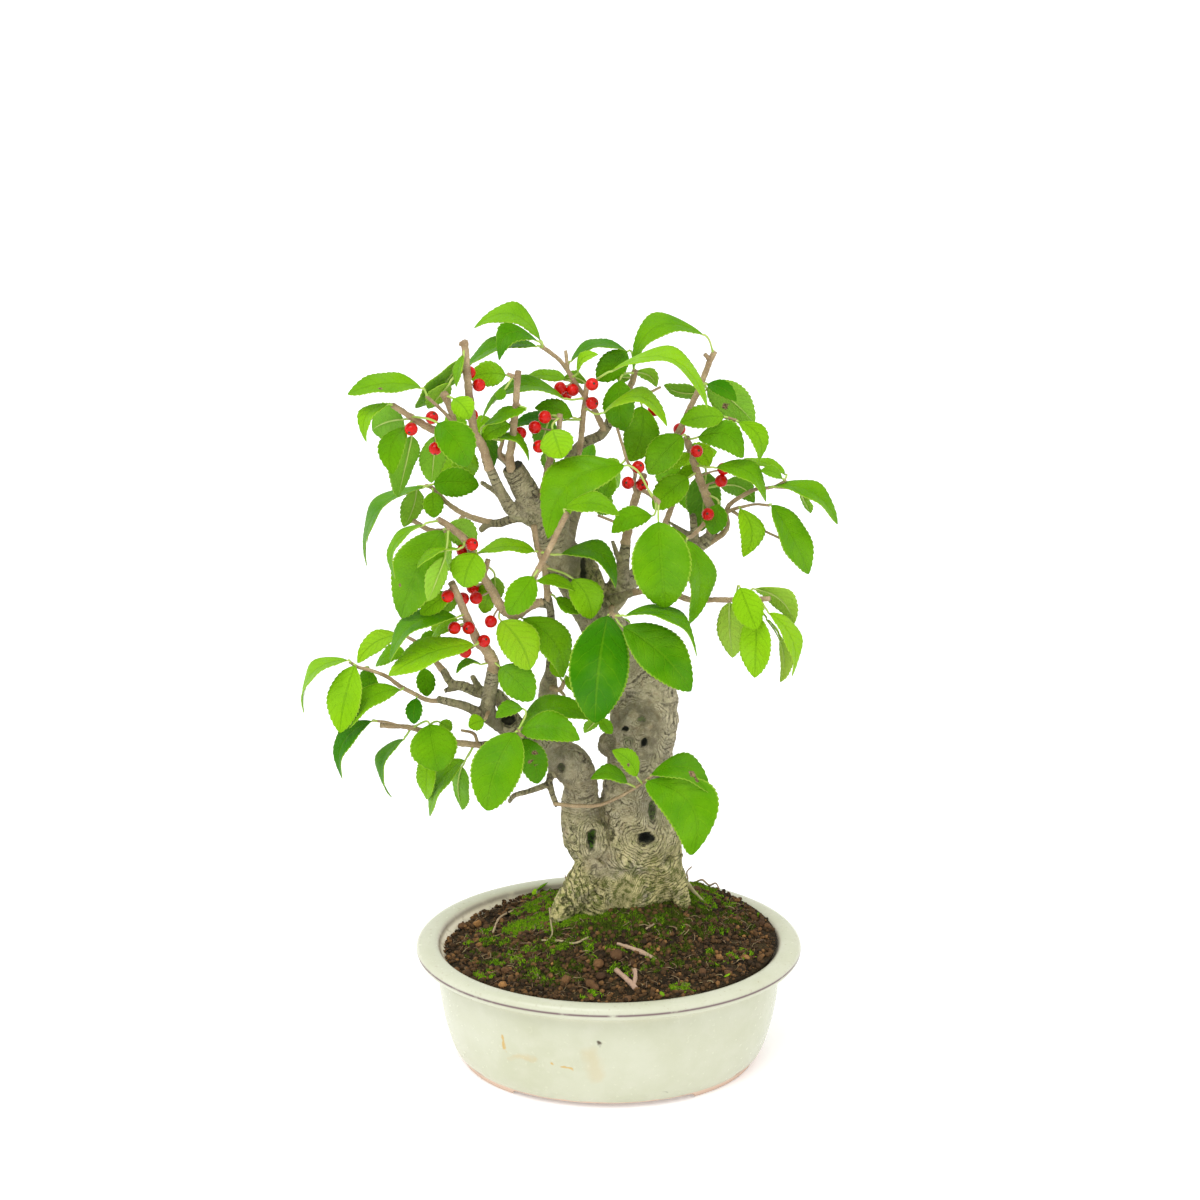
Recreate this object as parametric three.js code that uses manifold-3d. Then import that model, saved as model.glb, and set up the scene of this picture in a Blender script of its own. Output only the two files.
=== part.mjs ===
// Japanese winterberry bonsai in an oval glazed pot. Millimetres, +Z up.
// The tree is laid out round the middle of the pot's foot, and the whole group is moved at the end
// so that the origin is the middle of the bottom of its bounding box.
import * as THREE from 'three';
import { mergeVertices } from 'three/addons/utils/BufferGeometryUtils.js';
import Module from 'manifold-3d';

const wasm = await Module();
wasm.setup();

// Driving dimensions of the pot
const POT_HALF_WIDTH = 75;
const POT_DEPTH_RATIO = 0.75;
const POT_HEIGHT = 50;
const FOOT_HEIGHT = 2.5;
const FLOOR_TOP = 6.5;
const POT_SEGMENTS = 26;
const DRAIN_HOLE_RADIUS = 6;
const DRAIN_HOLE_X = 24;
const MESH_SIDE = 17;
const MESH_THICKNESS = 1.2;
const MESH_HOLE_SHARE = 0.72;
const FOOT_OPENING_WIDTH = 70;
const FOOT_OPENING_X = -2;

// Driving dimensions of the plant
const LEAF_THICKNESS = 0.7;
const PETIOLE_HALF_WIDTH = 0.6;
const ROOT_DEPTH = 0.6;
const SUNK_LENGTH = 4;
const END_MARGIN = 0.8;
const TURN_LENGTH = 2;
const TURN_COST = 1.5;
const LEAF_WIDTH_RATIO = 0.5;
const LARGEST_LEAF_WIDTH = 23;
const LEAF_FOLD = 0.16;
const LEAF_ARCH = 0.07;
const BERRY_RADIUS = 2.4;
const STALK_RADIUS = 0.45;
const BUTT_SIDES = 14;
const FLUTES = 5;
const FLUTE_SHARE = 0.05;
const BURL_DEPTH_RATIO = 0.7;
const HOLLOW_DEPTH = 6;
const GAP = 0.35;

// Every place of the plant is written as [x, z, ahead]: x and z on the upright plane through the trunk,
// and the distance that it comes ahead of that plane along the line from a viewer standing at EYE.
const EYE = new THREE.Vector3(-3.4, -1067.5, 619.3);
const TRUNK_Y = 14.7;

function place(x, z, ahead) {
  const reach = 1 - ahead / (TRUNK_Y - EYE.y);
  return new THREE.Vector3(x, TRUNK_Y, z).sub(EYE).multiplyScalar(reach).add(EYE);
}

// Thick wood of the one grown trunk. Rows are [x, z, ahead, radius].
const TRUNK_LIMBS = [
  // main trunk, from the base to its cut top
  [[9, 80, 0, 16], [11, 94, 0, 15.2], [11.2, 105, 0, 14.2], [12, 118, -1, 12.5], [12.5, 130, -1, 12.8],
    [14, 139, -2, 13.3], [15.6, 150, -3, 9.9], [8, 163, -4, 9.2], [-1, 173, -3, 8.4], [-5.5, 181, -1, 7.8],
    [-9, 190, 1, 8.2], [-12, 197, 3, 8.4], [-18, 206, 5, 6.6], [-22, 214, 7, 6.2], [-26, 222, 9, 5.6],
    [-31, 230, 11, 4.7], [-36, 240, 13, 4.1]],
  // twin trunk on the left
  [[-5.5, 77, 3, 7.2], [-8.4, 86, 3, 9.1], [-10.2, 93, 4, 8.7], [-11, 101, 4, 7.4], [-11, 110, 5, 6.6], [-14, 118, 6, 7.2],
    [-22, 124, 8, 6], [-33, 128, 11, 4.8], [-40, 135, 14, 3.6], [-46, 139, 17, 3.1], [-45.6, 149, 18, 2.7],
    [-43.6, 157.5, 19.2, 2.9]],
  [[-31, 129, 11, 4], [-37.5, 136, 17, 3.9]],
  // old dark branch behind the left fork
  [[-36, 136, 14, 3], [-43, 147, 10, 2.8], [-50, 148.5, 6, 2.3], [-56, 151, 2, 2], [-60, 152, 0, 1.7],
    [-63.5, 158, -2, 1.5]],
  [[-56, 151, 1, 1.5], [-63, 149, -1, 1]],
  [[-48.5, 148, 7, 1.6], [-52.5, 155.5, 5, 1.1]],
  // lower left branches, cut short where the leafy shoots go on
  [[-44, 136, 16, 2.4], [-55, 142.5, 20, 1.8], [-60, 144, 21, 1.6], [-66, 145.6, 22, 1.5]],
  [[-33, 130, 12, 2.8], [-43, 126.8, 15, 1.8], [-51, 126.2, 18, 1.4]],
  // upright branch in front of the trunk, with its knob
  [[-17, 122, 7, 4], [-22, 136, 5, 3.4], [-23.3, 146, 4, 3.9], [-23, 151, 3, 3.7], [-22.3, 157, 5, 2.2],
    [-22, 165, 8, 1.7], [-22, 180, 11, 1.6], [-23, 188, 12.7, 1.5]],
  [[-22.3, 184.5, 12, 1.7], [-27, 185.3, 14, 1.8]],
  // spur low on the left trunk
  [[-20, 118, 9, 1.9], [-23, 112, 12, 1.4], [-22.5, 108, 13.5, 1.3], [-21.5, 104, 15, 1.2],
    [-20, 100, 16, 1.2]],
  [[-22.7, 109.8, 13, 1.3], [-31, 106.5, 17, 1.2], [-37, 104.5, 20, 1.1], [-39, 101.5, 21, 0.9]],
  // left limb and the level branch beside it
  [[-25, 218, 9, 4.2], [-32, 221, 12, 3.2], [-36, 222.5, 14, 2.7], [-40, 229, 17, 2.1], [-46, 243, 22, 1.8]],
  [[-36, 222.5, 13, 1.4], [-42, 229.5, 12, 1.1], [-48, 234, 11, 1]],
  [[-28, 220, 9, 2.3], [-35, 219.5, 7, 1.8], [-41, 217.5, 4, 1.7], [-45, 217.2, 2, 1.5],
    [-48.5, 214.5, 1, 1.2]],
  // grey branch that rises behind the large front leaf
  [[-18, 210, 3, 3], [-17, 222, 0, 2.4], [-16.5, 232, -3, 2.2], [-16, 240, -5, 2], [-13, 246, -6, 1.9],
    [-9, 249.5, -7, 1.9], [-3, 252.5, -8, 2], [1.5, 260, -9, 1.8]],
  // right limb and its forked stub
  [[-3, 180, -1, 5], [2, 190, -2, 4.2], [4.5, 197, -3, 3.2], [5.5, 203, -4, 2.4], [6.5, 211, -6, 1.9]],
  [[5, 200, -3, 1.4], [3, 205, -2, 1.2], [1.2, 210.5, -1, 0.8]],
  // far right limb with its gnarl
  [[1, 185, -2, 4.2], [7, 193, -5, 3.6], [15, 200, -10, 3.2], [25, 206.5, -14, 3], [33, 208.5, -15, 3],
    [38, 212, -15, 2.4], [38.5, 217, -14, 2]],
  [[33, 208.5, -14, 1.8], [32, 214, -12, 1.6], [31.3, 221, -11, 1.4]],
  [[31.5, 212, -13, 1.3], [26, 215.5, -14, 0.9], [22, 218.3, -14, 0.6]],
  // start of the low right branch
  [[0, 185, 3, 3.4], [6, 188.3, 8, 1.7], [9.5, 189.8, 10, 1.4]],
  // limbs that reach to the back
  [[-16, 208, 3, 3], [-14, 217, -10, 2.4], [-10, 228, -22, 1.8]],
  [[9, 194, -6, 2.8], [14, 203, -20, 2.1], [19, 212, -32, 1.6]],
  [[-32, 233, 9, 2.2], [-37, 241, -6, 1.8], [-44, 247, -18, 1.4]],
  [[12, 150, -6, 3], [12, 160, -20, 2.1], [10, 167, -32, 1.6]],
];

// Base of the trunk as level rings: [z, middle x, half width, half depth]
const BUTT_RINGS = [[46, 3, 23, 15.5], [55, 3, 25, 16], [64, 4.5, 24.2, 15.2], [74, 7.6, 19.8, 14.6],
  [80, 7, 21, 14.4], [87, 5.4, 22.2, 14], [96, 4, 15, 10]];
const ROOTS = [
  [[-4, 78, 8, 7], [-8.5, 70, 9, 6.3], [-14.5, 61, 10, 5.4], [-20, 49, 10, 4]],
  [[21, 76, 5, 7], [26, 68, 7, 4.6], [29, 58, 8, 3.2], [30, 48, 8, 2.6]],
  [[2, 76, 7, 7], [2.5, 65, 9.5, 6], [2.5, 50, 11, 4.5]],
  [[8, 74, -7, 9], [10, 61, -12, 6], [12, 47, -15, 4]],
  [[-8, 70, -5, 6.5], [-16.5, 59, -9, 4.4], [-22, 48, -11, 3.5]],
];
// Burls and callus on the bark: [x, z, ahead, radius]
const BURLS = [[1, 127, 1, 5], [-18.5, 199, 4, 6], [-8, 86.5, 10, 8], [14.5, 86.5, 9.5, 8.5]];
// Rotted hollows: [x, z, ahead, half width, half height]
const HOLLOWS = [[-6.5, 86, 18.5, 2.2, 4], [14.5, 86.5, 18.5, 3.4, 2.8], [-38.5, 137, 21, 2.6, 2.6]];

// Leafy shoots. wood rows are [x, z, ahead, radius].
// leaf rows are [base x, base z, tip x, tip z, seen width, base ahead of its twig, tip ahead of the base,
// bow of the midrib to its left, face], where face is 1 with the upper side to the front and -1 with the
// underside. berry rows are [x, z, ahead of the twig].
const SHOOTS = {
  shoot_upper_left: {
    wood: [
      [[-44.5, 239, 21, 1.8], [-48, 250, 24, 1.6], [-52, 254, 26, 1.6], [-58, 254.5, 29, 1.6],
        [-64, 254, 32, 1.5], [-72, 258.5, 35, 1.2], [-80, 264, 38, 1]],
      [[-50, 253, 25, 1.5], [-51, 262, 26, 1.5], [-52, 272, 28, 1.4], [-53, 288.5, 31, 1.35]],
      [[-52.7, 286.8, 31, 1], [-55, 287.7, 31, 0.8]],
      [[-57, 254.5, 29, 1.1], [-58.5, 262, 31, 1.2], [-61, 268.5, 33, 1.5]],
      [[-57, 256, 29, 0.7], [-60, 260, 32, 0.7], [-67.5, 267.5, 38, 0.6]],
    ],
    leaves: [
      [-69.5, 271, -96.5, 268, 7, 2, 3, -2.5, 1],
      [-82, 264.5, -90, 249.5, 5, 2, 4, -4.5, 1], [-76, 258.5, -88, 254, 14, -4, -9, -1, -1],
      [-75.5, 255.5, -80.7, 236.7, 9, 3, 4, -3, 1], [-73.5, 252, -79, 228, 9.5, -1, -5, 0, -1],
      [-64.5, 252, -66.3, 233.5, 9.5, -5, -4, 0, -1], [-65, 257, -53.5, 240, 14.5, 8, 4, 2, 1],
      [-57.5, 266.5, -51.5, 258.5, 8, 4, 3, 1, 1], [-55, 281.5, -71, 262, 6.5, -4, -6, 1, -1],
      [-53.8, 283, -56.5, 271, 3, 2, 2, -0.5, 1], [-59, 272.5, -67, 262.5, 6, -3, -6, 0, -1],
    ],
    berries: [[-73.3, 254.6, 6], [-65.5, 259.1, 3], [-64, 247, 3], [-51.5, 276.5, -3], [-48, 271.7, -2],
      [-50.8, 260, -3]],
  },
  shoot_left_middle: {
    wood: [
      [[-43, 217.3, 3, 1.4], [-49, 219, 0, 1.1], [-55, 221.5, -3, 1], [-61, 226, -6, 0.9],
        [-66, 231.5, -9, 0.8], [-68.5, 232.5, -10, 0.7]],
      [[-54, 221, -2, 0.9], [-59, 215.5, -7, 0.95], [-66, 214.3, -9, 1.1], [-73.5, 218.5, -11, 0.95]],
    ],
    leaves: [
      [-72, 231.5, -77, 216, 8, -1, -3, 1, -1], [-69.5, 232, -91, 200, 4, 2, 6, -9, 1],
      [-65.5, 233, -48.5, 232.5, 11, 3, 4, 1, 1], [-65.8, 230, -65.5, 219.5, 7.5, 3, 3, 0, 1],
      [-67, 211, -75, 196, 10, -3, -10, 0, 1], [-60, 213, -64, 199, 9, -4, -16, 0, 1],
    ],
    berries: [],
  },
  shoot_left_inner: {
    wood: [
      [[-36, 237, 14, 1.8], [-37, 243, 17, 1.6], [-36, 250, 19, 1.4], [-34.5, 264, 21, 1.2],
        [-33.5, 277, 22, 1.15]],
      [[-33.8, 274.5, 22, 0.8], [-37.5, 276.2, 22, 0.5]],
      [[-37, 241, 16, 1], [-40.5, 245, 15, 0.9], [-39.5, 250, 15, 0.7], [-38.5, 256, 14, 0.6],
        [-39, 260, 14, 0.6]],
    ],
    leaves: [
      [-38, 275.5, -51, 274.5, 9, -3, -3, -1, 1], [-38.5, 270, -41.5, 266, 3.5, 2, 1, 0, 1],
      [-31, 262.5, -46, 255.5, 4.5, 2, 1, -1, 1], [-43, 251.5, -29.7, 242.3, 3.5, 6, 4, 4, 1],
      [-47, 253, -43, 240, 6, -3, -3, 1, 1],
      [-36.5, 256.5, -47, 250.5, 6, 1, 1, -1, 1],
    ],
    berries: [[-33, 253, -4]],
  },
  shoot_top_left: {
    wood: [
      [[-1.5, 253.5, -8, 1.3], [-4.5, 260, -4.5, 1.1], [-7, 265, -3, 0.9], [-9.5, 268, -2, 0.9],
        [-12.5, 272.5, 0, 0.9], [-15, 277, 2, 0.9], [-18, 281, 4, 0.8], [-22, 284.5, 6, 0.8],
        [-25, 286.5, 8, 0.8]],
      [[-15, 276.5, 2, 0.7], [-15.5, 280, 2, 0.7], [-16, 285, 1, 0.6]],
    ],
    leaves: [
      [-27, 287, -57, 271, 5, 1, 2, -6.3, 1], [-25.3, 289.5, -49.5, 293, 7, -2, -4, -7.5, 1],
      [-26.5, 289, -40.6, 281, 8, 5, 9, -7, 1],
      [-16, 274, -34.5, 272.7, 4, -4, -4, -2, 1],
      [-14, 281.5, 6.5, 285, 3.5, -3, -4, 4, 1], [-12, 276.5, -4, 283.5, 3.5, 3, 3, 2.5, 1],
      [-8, 272.5, -17, 274, 4, -4, -5, -1.5, -1],
    ],
    berries: [[-18, 270.5, 1], [-15.8, 268.3, -4], [-13.5, 269.8, 1.5]],
  },
  shoot_top_middle: {
    wood: [[[-11.5, 245, -6, 1.3], [-10.5, 250, -4, 1.2], [-10, 256, -1, 1.1], [-9, 265, 3, 1],
      [-8.2, 272, 5, 1]]],
    leaves: [
      [-17, 267, -47.5, 257, 5.5, 4, 2, -9, 1], [-13.5, 259.5, -27.5, 263, 6.5, 3, 3, -1.5, 1],
      [-17, 258.5, -36, 256, 5, 0, -2, -1.5, 1], [-2, 261.5, 21.5, 255.5, 6, 8, 7, 8.3, 1],
      [1, 277.5, 36.5, 263, 6.5, 6, 10, 11.5, 1],
    ],
    berries: [[-6.3, 272, 6], [-6.3, 264.7, 3]],
  },
  shoot_inner_twig: {
    wood: [[[-25.5, 225, 12, 1.8], [-24, 232, 13, 1.6], [-22.5, 240, 14, 1.4], [-21, 246, 15, 1.2],
      [-19, 252, 14, 1], [-18, 260.5, 13, 1]]],
    leaves: [
      [-21, 254.5, -17.5, 243, 12, 5, 4, 0, 1], [-23, 246, -22.5, 236, 5, -5, -4, 0, -1],
      [-22, 259, -26, 246, 9, -4, -4, 0, -1],
    ],
    berries: [[-23.8, 259.3, 3], [-27.5, 255.3, 3], [-26, 247.8, 4]],
  },
  shoot_grey_stub: {
    wood: [
      [[0.5, 258, -9, 1.7], [5, 266, -10, 1.3], [8.5, 273, -11, 1.2], [9.5, 277.5, -11, 1.1]],
      [[4, 264, -10, 0.8], [10, 266, -12, 0.6], [14.5, 268.5, -13, 0.6], [19, 271, -14, 0.5]],
    ],
    leaves: [
      [6.5, 284.5, -4.5, 273.5, 10, 3, 3, 0, 1], [4, 273.5, 5, 253.5, 11.5, 8, 0, -1, 1],
      [12, 263.5, 8, 242, 13, 4, 0, 2, 1], [9.5, 277, 17.5, 271, 5, -4, -5, 2, -1],
      [8, 274.5, 2, 277, 4, -3, -4, 1, -1],
    ],
    berries: [[16.5, 262, 2]],
  },
  shoot_centre: {
    wood: [
      [[6, 209, -5, 1.9], [8.5, 222, -7, 1.7], [11, 231, -7, 1.5], [13, 237, -7, 1.4]],
      [[10.5, 228, -7, 1], [9.3, 233, -2, 0.8], [9.5, 238, 4, 0.7], [7, 241.5, 6, 0.6], [5, 248, 3, 0.6],
        [3, 255, 0, 0.6]],
      [[11.5, 231, -6, 0.9], [15, 229, 10, 0.8], [18.7, 226, 26, 0.7]],
      [[7, 216, -5, 0.7], [2, 218, 0, 0.6], [-4, 220.5, 5, 0.55]],
    ],
    leaves: [
      [5.5, 240.5, -23.3, 211.5, 17, 12, 12, -9, 1], [1.5, 236.5, -3, 226.5, 6, 4, 2, 0, 1],
      [16, 220.5, 0.8, 213.5, 8, -2, 5, -2.5, 1], [18.5, 218, 21.2, 183, 21.5, 3, 8, 0, 1],
    ],
    berries: [[7, 233.5, 8], [12.3, 232.8, 6], [10.8, 239.7, 3]],
  },
  shoot_top_right: {
    wood: [
      [[14.6, 240.3, -8.4, 1.2], [20, 245, -12, 1.3], [27, 256, -14, 1.2], [29, 261, -14, 1.15],
        [33, 270, -15, 1.15], [37, 281, -16, 1.1], [38.7, 284.5, -16, 1.1]],
      [[37, 281.5, -16, 1], [35, 283.5, -15, 0.8]],
      [[29, 261, -14, 0.8], [36, 260.5, -8, 0.6], [42.5, 259.3, -4, 0.6], [47, 258, -2, 0.6]],
    ],
    leaves: [
      [34, 291.5, 8.5, 278.5, 9, 3, 8, -9.5, 1], [36.5, 272, 53.5, 257, 13, -3, -4, 1, -1],
      [35, 269.5, 20, 271.5, 5, -5, -4, 1.5, -1],
      [36, 272, 47, 265.5, 6, 3, 2, 1.5, 1], [42.5, 259.5, 26, 257, 8.5, 2, 5, -1, 1],
      [48, 257.5, 56, 242, 7, 1, 3, 4, 1],
    ],
    berries: [[26, 254.5, -3]],
  },
  shoot_right_upper: {
    wood: [
      [[38.5, 214, -14, 2], [38.5, 222, -13, 1.8], [37, 226, -12, 1.7], [34.5, 233, -10, 1.5],
        [31, 243, -8, 1.35], [28.5, 251.5, -6, 1.25]],
      [[38, 220, -12, 0.9], [32, 213, 6, 0.8], [29.5, 211.5, 20, 0.7]],
    ],
    leaves: [
      [27, 252, 14.5, 237, 12, 5, 6, -1, 1], [29.5, 235.5, 16.5, 223, 10.5, 5, 6, -1, 1],
      [30, 245, 22, 239.5, 5, 2, 1, 0, 1], [33, 239.5, 25, 236, 4.5, -2, -2, 0, 1],
      [31, 248.5, 37.5, 240, 7, -2, 0, 1, 1], [33, 251.5, 50, 243.5, 11, 5, 3, 5, 1],
      [40, 239.8, 58.5, 225.8, 7.5, 8, 5, 5.5, 1], [41.5, 232.5, 54.5, 225.5, 8, -3, -4, 3, -1],
      [36, 238, 34.5, 214.5, 13, -6, -5, 0, -1], [41, 225, 38.8, 212.8, 8.5, 5, 3, 0, 1],
      [29.5, 210.5, 30.5, 176.5, 10, 3, 6, 4.5, 1],
    ],
    berries: [[32.5, 246, 6], [42.5, 239, 1], [41.8, 234.3, 3], [37, 221, 9]],
  },
  shoot_right_middle: {
    wood: [
      [[36, 208.5, -15, 1.4], [44, 215, -12, 1], [44.2, 223.5, -11, 0.9], [50, 228.5, -8, 0.8],
        [55, 231, -6, 0.7], [61, 231.8, -4, 0.6], [66, 234.5, -3, 0.5]],
      [[43.6, 221.5, -11, 0.8], [46.5, 223, -8, 0.7], [50, 224, -5, 0.6], [55, 225, -2, 0.5],
        [60, 224.5, 0, 0.5]],
      [[46, 222.5, -9, 0.7], [52, 218, -13, 0.5], [57, 215, -13, 0.5], [64, 211.5, -13, 0.5]],
      [[61, 231.8, -4, 0.5], [67, 231.3, -7, 0.5], [71, 230.3, -9, 0.5]],
    ],
    leaves: [
      [49, 223.3, 50.5, 203.8, 9, 3, 3, 4, 1], [61, 224.8, 75.8, 197, 10.5, 1, 6, 1, 1],
      [62, 232.3, 85.7, 217, 6, 2, 4, 5.3, 1], [65.5, 237.5, 50, 243, 3.5, -4, -6, -1, 1],
      [64.5, 235.5, 56.5, 238.5, 4, 1, 2, -1, 1],
      [72, 229.5, 75.5, 221.5, 3, -1, -3, 0, -1],
    ],
    berries: [],
  },
  shoot_right_low: {
    wood: [[[8, 189.2, 9, 1.3], [14.5, 190.3, 12, 1.3], [17.5, 188.8, 13, 1.3], [25, 188.5, 15, 1.2],
      [31, 186.5, 17, 1.1], [40, 186.5, 19, 1], [48, 186.5, 21, 1], [61, 187, 24, 0.95]]],
    leaves: [
      [46, 185.5, 47.3, 163, 10, -4, -3, -0.5, -1], [49.5, 191.5, 56, 174.5, 11, 4, 3, 0, 1],
      [56, 181, 55.8, 154.5, 11.5, 1, 1, 0, 1], [55.5, 191.3, 70.3, 176.5, 8, -3, -4, 3.5, -1],
      [61, 181.3, 70.3, 155, 6, 2, 2, 4.4, 1], [60.5, 178.5, 66, 152.8, 3, -3, -3, 3.5, -1],
    ],
    berries: [],
  },
  shoot_front: {
    wood: [[[1, 184, 4, 1.1], [1, 181.5, 18, 0.9], [2, 180, 34, 0.8]]],
    leaves: [
      [-0.5, 180, -5.3, 135.5, 22, 4, 8, -1, 1], [5.5, 175.5, 31.5, 148.8, 17, 0, 3, 2.5, 1],
      [6.5, 180.5, 34, 164.3, 5.5, 3, 6, 7.5, 1],
    ],
    berries: [],
  },
  shoot_mid_stem: {
    wood: [[[-23, 185.5, 12.4, 1.4], [-24.5, 200, 15, 1.2], [-27, 208, 17, 1.1], [-28.2, 216.5, 18, 1.1]]],
    leaves: [
      [-28, 206.5, -50, 204.5, 5.5, 2, 4, -2.5, 1], [-18, 205.3, 2.8, 191.5, 7.5, 5, 4, 7.5, 1],
      [-27, 194.5, -13, 190.5, 4.5, 4, 4, 1.5, 1], [-13.5, 195, -6.5, 178.8, 12, 3, 3, 2, 1],
      [-20, 187.5, -9, 181.5, 5, 2, 1, -1, 1],
    ],
    berries: [],
  },
  shoot_mid_left: {
    wood: [
      [[-25, 185.8, 13.5, 1.6], [-30, 184, 15, 1.8], [-36, 181, 17, 2.7], [-41, 184, 19, 1.9],
        [-44, 190, 21, 1.7], [-48, 197, 23, 1.6], [-51, 205, 26, 1.6], [-54, 210.5, 28, 1.4], [-59, 215.5, 31, 1.3],
        [-64, 219, 33, 1.2]],
      [[-47.5, 196, 23, 1.2], [-45.5, 203, 22, 1]],
      [[-35, 181.5, 17, 1.6], [-31.5, 187, 26, 1.3], [-29, 194, 29, 1.2], [-22.5, 207, 32, 1.15],
        [-15.8, 221.5, 36, 1.1]],
    ],
    leaves: [
      [-16.5, 223.5, 4, 221, 7, 1, 3, 3, 1], [-50, 205.5, -54.8, 191.5, 13, 4, 4, -1, 1],
      [-28.5, 196, -38.3, 180.5, 10.5, 3, 4, 0, 1],
      [-41, 178, -30, 157.8, 14.5, 4, 6, 2, 1], [-32.5, 179, -17, 154.5, 12.5, 0, 2, 4.5, 1],
      [-60.5, 217, -50, 208.5, 10, -6, -4, 1, -1],
      [-62.5, 214.5, -79, 178.8, 18, -3, 0, -2, 1], [-70, 217, -81, 195, 3.2, 6, 6, -5.5, 1],
      [-57, 207.5, -72.5, 200, 2.2, 9, 7, -2, 1], [-62, 204, -68.5, 186, 7, 12, 8, 0, -1],
      [-45, 191.5, -52.5, 187, 4.5, -2, -4, -1, 1], [-45.5, 190, -47.5, 181, 6, -2, -1, 0, 1],
      [-43, 196, -42.5, 186, 6, -6, -4, 0, -1],
    ],
    berries: [[-55, 206.3, -3], [-51.5, 209, 2], [-44.8, 177.7, 3], [-51.5, 191.5, -4], [-50.3, 187.3, 4]],
  },
  shoot_left_fork: {
    wood: [[[-44.3, 154.5, 18.8, 2.5], [-44, 160, 19.6, 2.4], [-46, 165, 21, 2.1], [-50, 170, 23, 1.9],
      [-53, 177, 25, 1.6], [-56, 185, 27, 1.5], [-59.5, 193.5, 29, 1.4]]],
    leaves: [
      [-61, 189.5, -71.5, 180.5, 7, 0, 1, 0, 1], [-58, 179.8, -84, 161, 7.5, 4, 6, -6.5, 1],
      [-51.5, 168.3, -84, 154.5, 9.5, 8, 8, -3, 1], [-57.5, 178.5, -67.5, 174.5, 6, -6, -6, 0, 1],
      [-57.5, 176.3, -68.5, 169, 3.2, -2, -4, -1.5, 1], [-58.5, 188.5, -64, 181.5, 6, -3, -3, 0, -1],
      [-41.5, 159, -29, 145, 12.5, 4, 5, 1, 1],
      [-49, 160.5, -58.3, 156, 2.2, 2, 2, -2.5, 1],
    ],
    berries: [[-61, 188, 4], [-55.3, 187, -2], [-58.7, 175, 5], [-53.3, 175, 3], [-54.7, 165.3, 2],
      [-47.5, 169.7, 3]],
  },
  shoot_old_left: {
    wood: [
      [[-62, 155.5, -1.5, 1.5], [-66, 161, -3, 1.1], [-70, 165.5, -2, 0.8], [-73, 169, -1, 0.7],
        [-78, 172, 0, 0.6]],
      [[-66, 161, -3, 0.8], [-71, 164, -5, 0.7], [-77, 164.5, -6, 0.6]],
    ],
    leaves: [
      [-79, 172, -96, 160.5, 7, 1, 3, -3, 1], [-77.5, 165, -89, 159, 6, -3, -6, -2, 1],
      [-70.5, 158.5, -69.5, 146.5, 7, 2, 2, 0, 1], [-72, 168, -64, 172, 7, -6, -8, 0, 1],
    ],
    berries: [],
  },
  shoot_low_left_tip: {
    wood: [[[-63.5, 144.8, 21.5, 1], [-69, 145, 22.5, 0.95], [-75, 148, 24, 0.9], [-80, 151, 26, 0.85],
      [-85, 155, 28, 0.8], [-91, 157.5, 29, 0.7], [-96, 159, 30, 0.7], [-99, 161, 31, 0.6]]],
    leaves: [
      [-100, 162, -117, 139.5, 4, 2, 3, -7, 1], [-97, 159.5, -103.5, 131.5, 12, 2, 4, -1, 1],
      [-92, 158.5, -94, 143.5, 8, -3, -4, 1, 1], [-80, 149.7, -100.5, 134, 8, 5, 6, -4, 1],
      [-73.7, 146, -75, 135, 6, 2, 3, -0.5, 1],
    ],
    berries: [],
  },
  shoot_low_left: {
    wood: [
      [[-48, 126.2, 17, 1.2], [-60, 127.5, 21, 1.2], [-76, 133.5, 25, 1], [-88, 134.5, 28, 0.95]],
      [[-80, 133.9, 26, 0.6], [-85, 135.8, 27, 0.5], [-91, 136.5, 28, 0.5]],
      [[-50.5, 126.8, 18, 0.7], [-52, 131, 18, 0.7], [-57, 132.5, 18, 0.5]],
    ],
    leaves: [
      [-91.5, 136.5, -104, 112, 6.5, 2, 4, -5.3, 1], [-79.5, 128.8, -84.5, 103.8, 3.5, 2, 2, -6, 1],
      [-69, 135, -66, 115, 17.5, 4, 5, 0, 1],
      [-65, 135.8, -60.3, 132.5, 5, -3, -3, 0, 1], [-70, 121, -71.3, 102.8, 7.5, -2, -2, 0, 1],
      [-56, 120, -69.5, 95.5, 6.5, 1, 0, -3.5, 1], [-56.5, 117, -56.5, 98.8, 7, -8, -6, -1.5, -1],
    ],
    berries: [],
  },
  shoot_low_front: {
    wood: [[[-33, 129, 13, 1.3], [-34.5, 131, 24, 1], [-35, 131.8, 32, 0.8]]],
    leaves: [
      [-36, 131.5, -47.5, 98.3, 18.5, 3, 8, -2, 1], [-33, 129, -27.3, 109.5, 10.5, 5, 1, 1, 1],
      [-34, 132, -11, 128.3, 11, 3, 5, 3.5, 1], [-34.5, 134, -5.5, 136, 8.5, -4, -5, 6.5, 1],
      [-33, 141.5, -43.5, 137.7, 5.5, -3, -2, -2, 1],
    ],
    berries: [],
  },
  shoot_left_sprout: {
    wood: [[[-46, 141, 17, 0.9], [-46.5, 139.5, 21, 0.8], [-47.5, 137, 23, 0.7]]],
    leaves: [[-48, 136.5, -54, 134, 6, 1, 1, -0.5, 1]],
    berries: [],
  },
  shoot_knob: {
    wood: [[[-22, 150.5, 6, 1.2], [-18.8, 149.5, 9, 1], [-17, 153, 11, 0.8]],
      [[-19, 149.5, 9, 0.8], [-17, 147, 12, 0.6]]],
    leaves: [[-16.3, 145.5, -11, 139.5, 2.5, 0, 2, 0.5, 1], [-18.5, 154.5, -21, 163, 5.5, 0, -2, 0, 1],
      [-16, 155, -14, 149, 3, 1, 2, 0, 1]],
    berries: [],
  },
  shoot_trunk_sprout: {
    wood: [[[1, 132, 9, 0.8], [-2, 135, 13, 0.7], [-3.5, 138, 15, 0.6]]],
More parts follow.
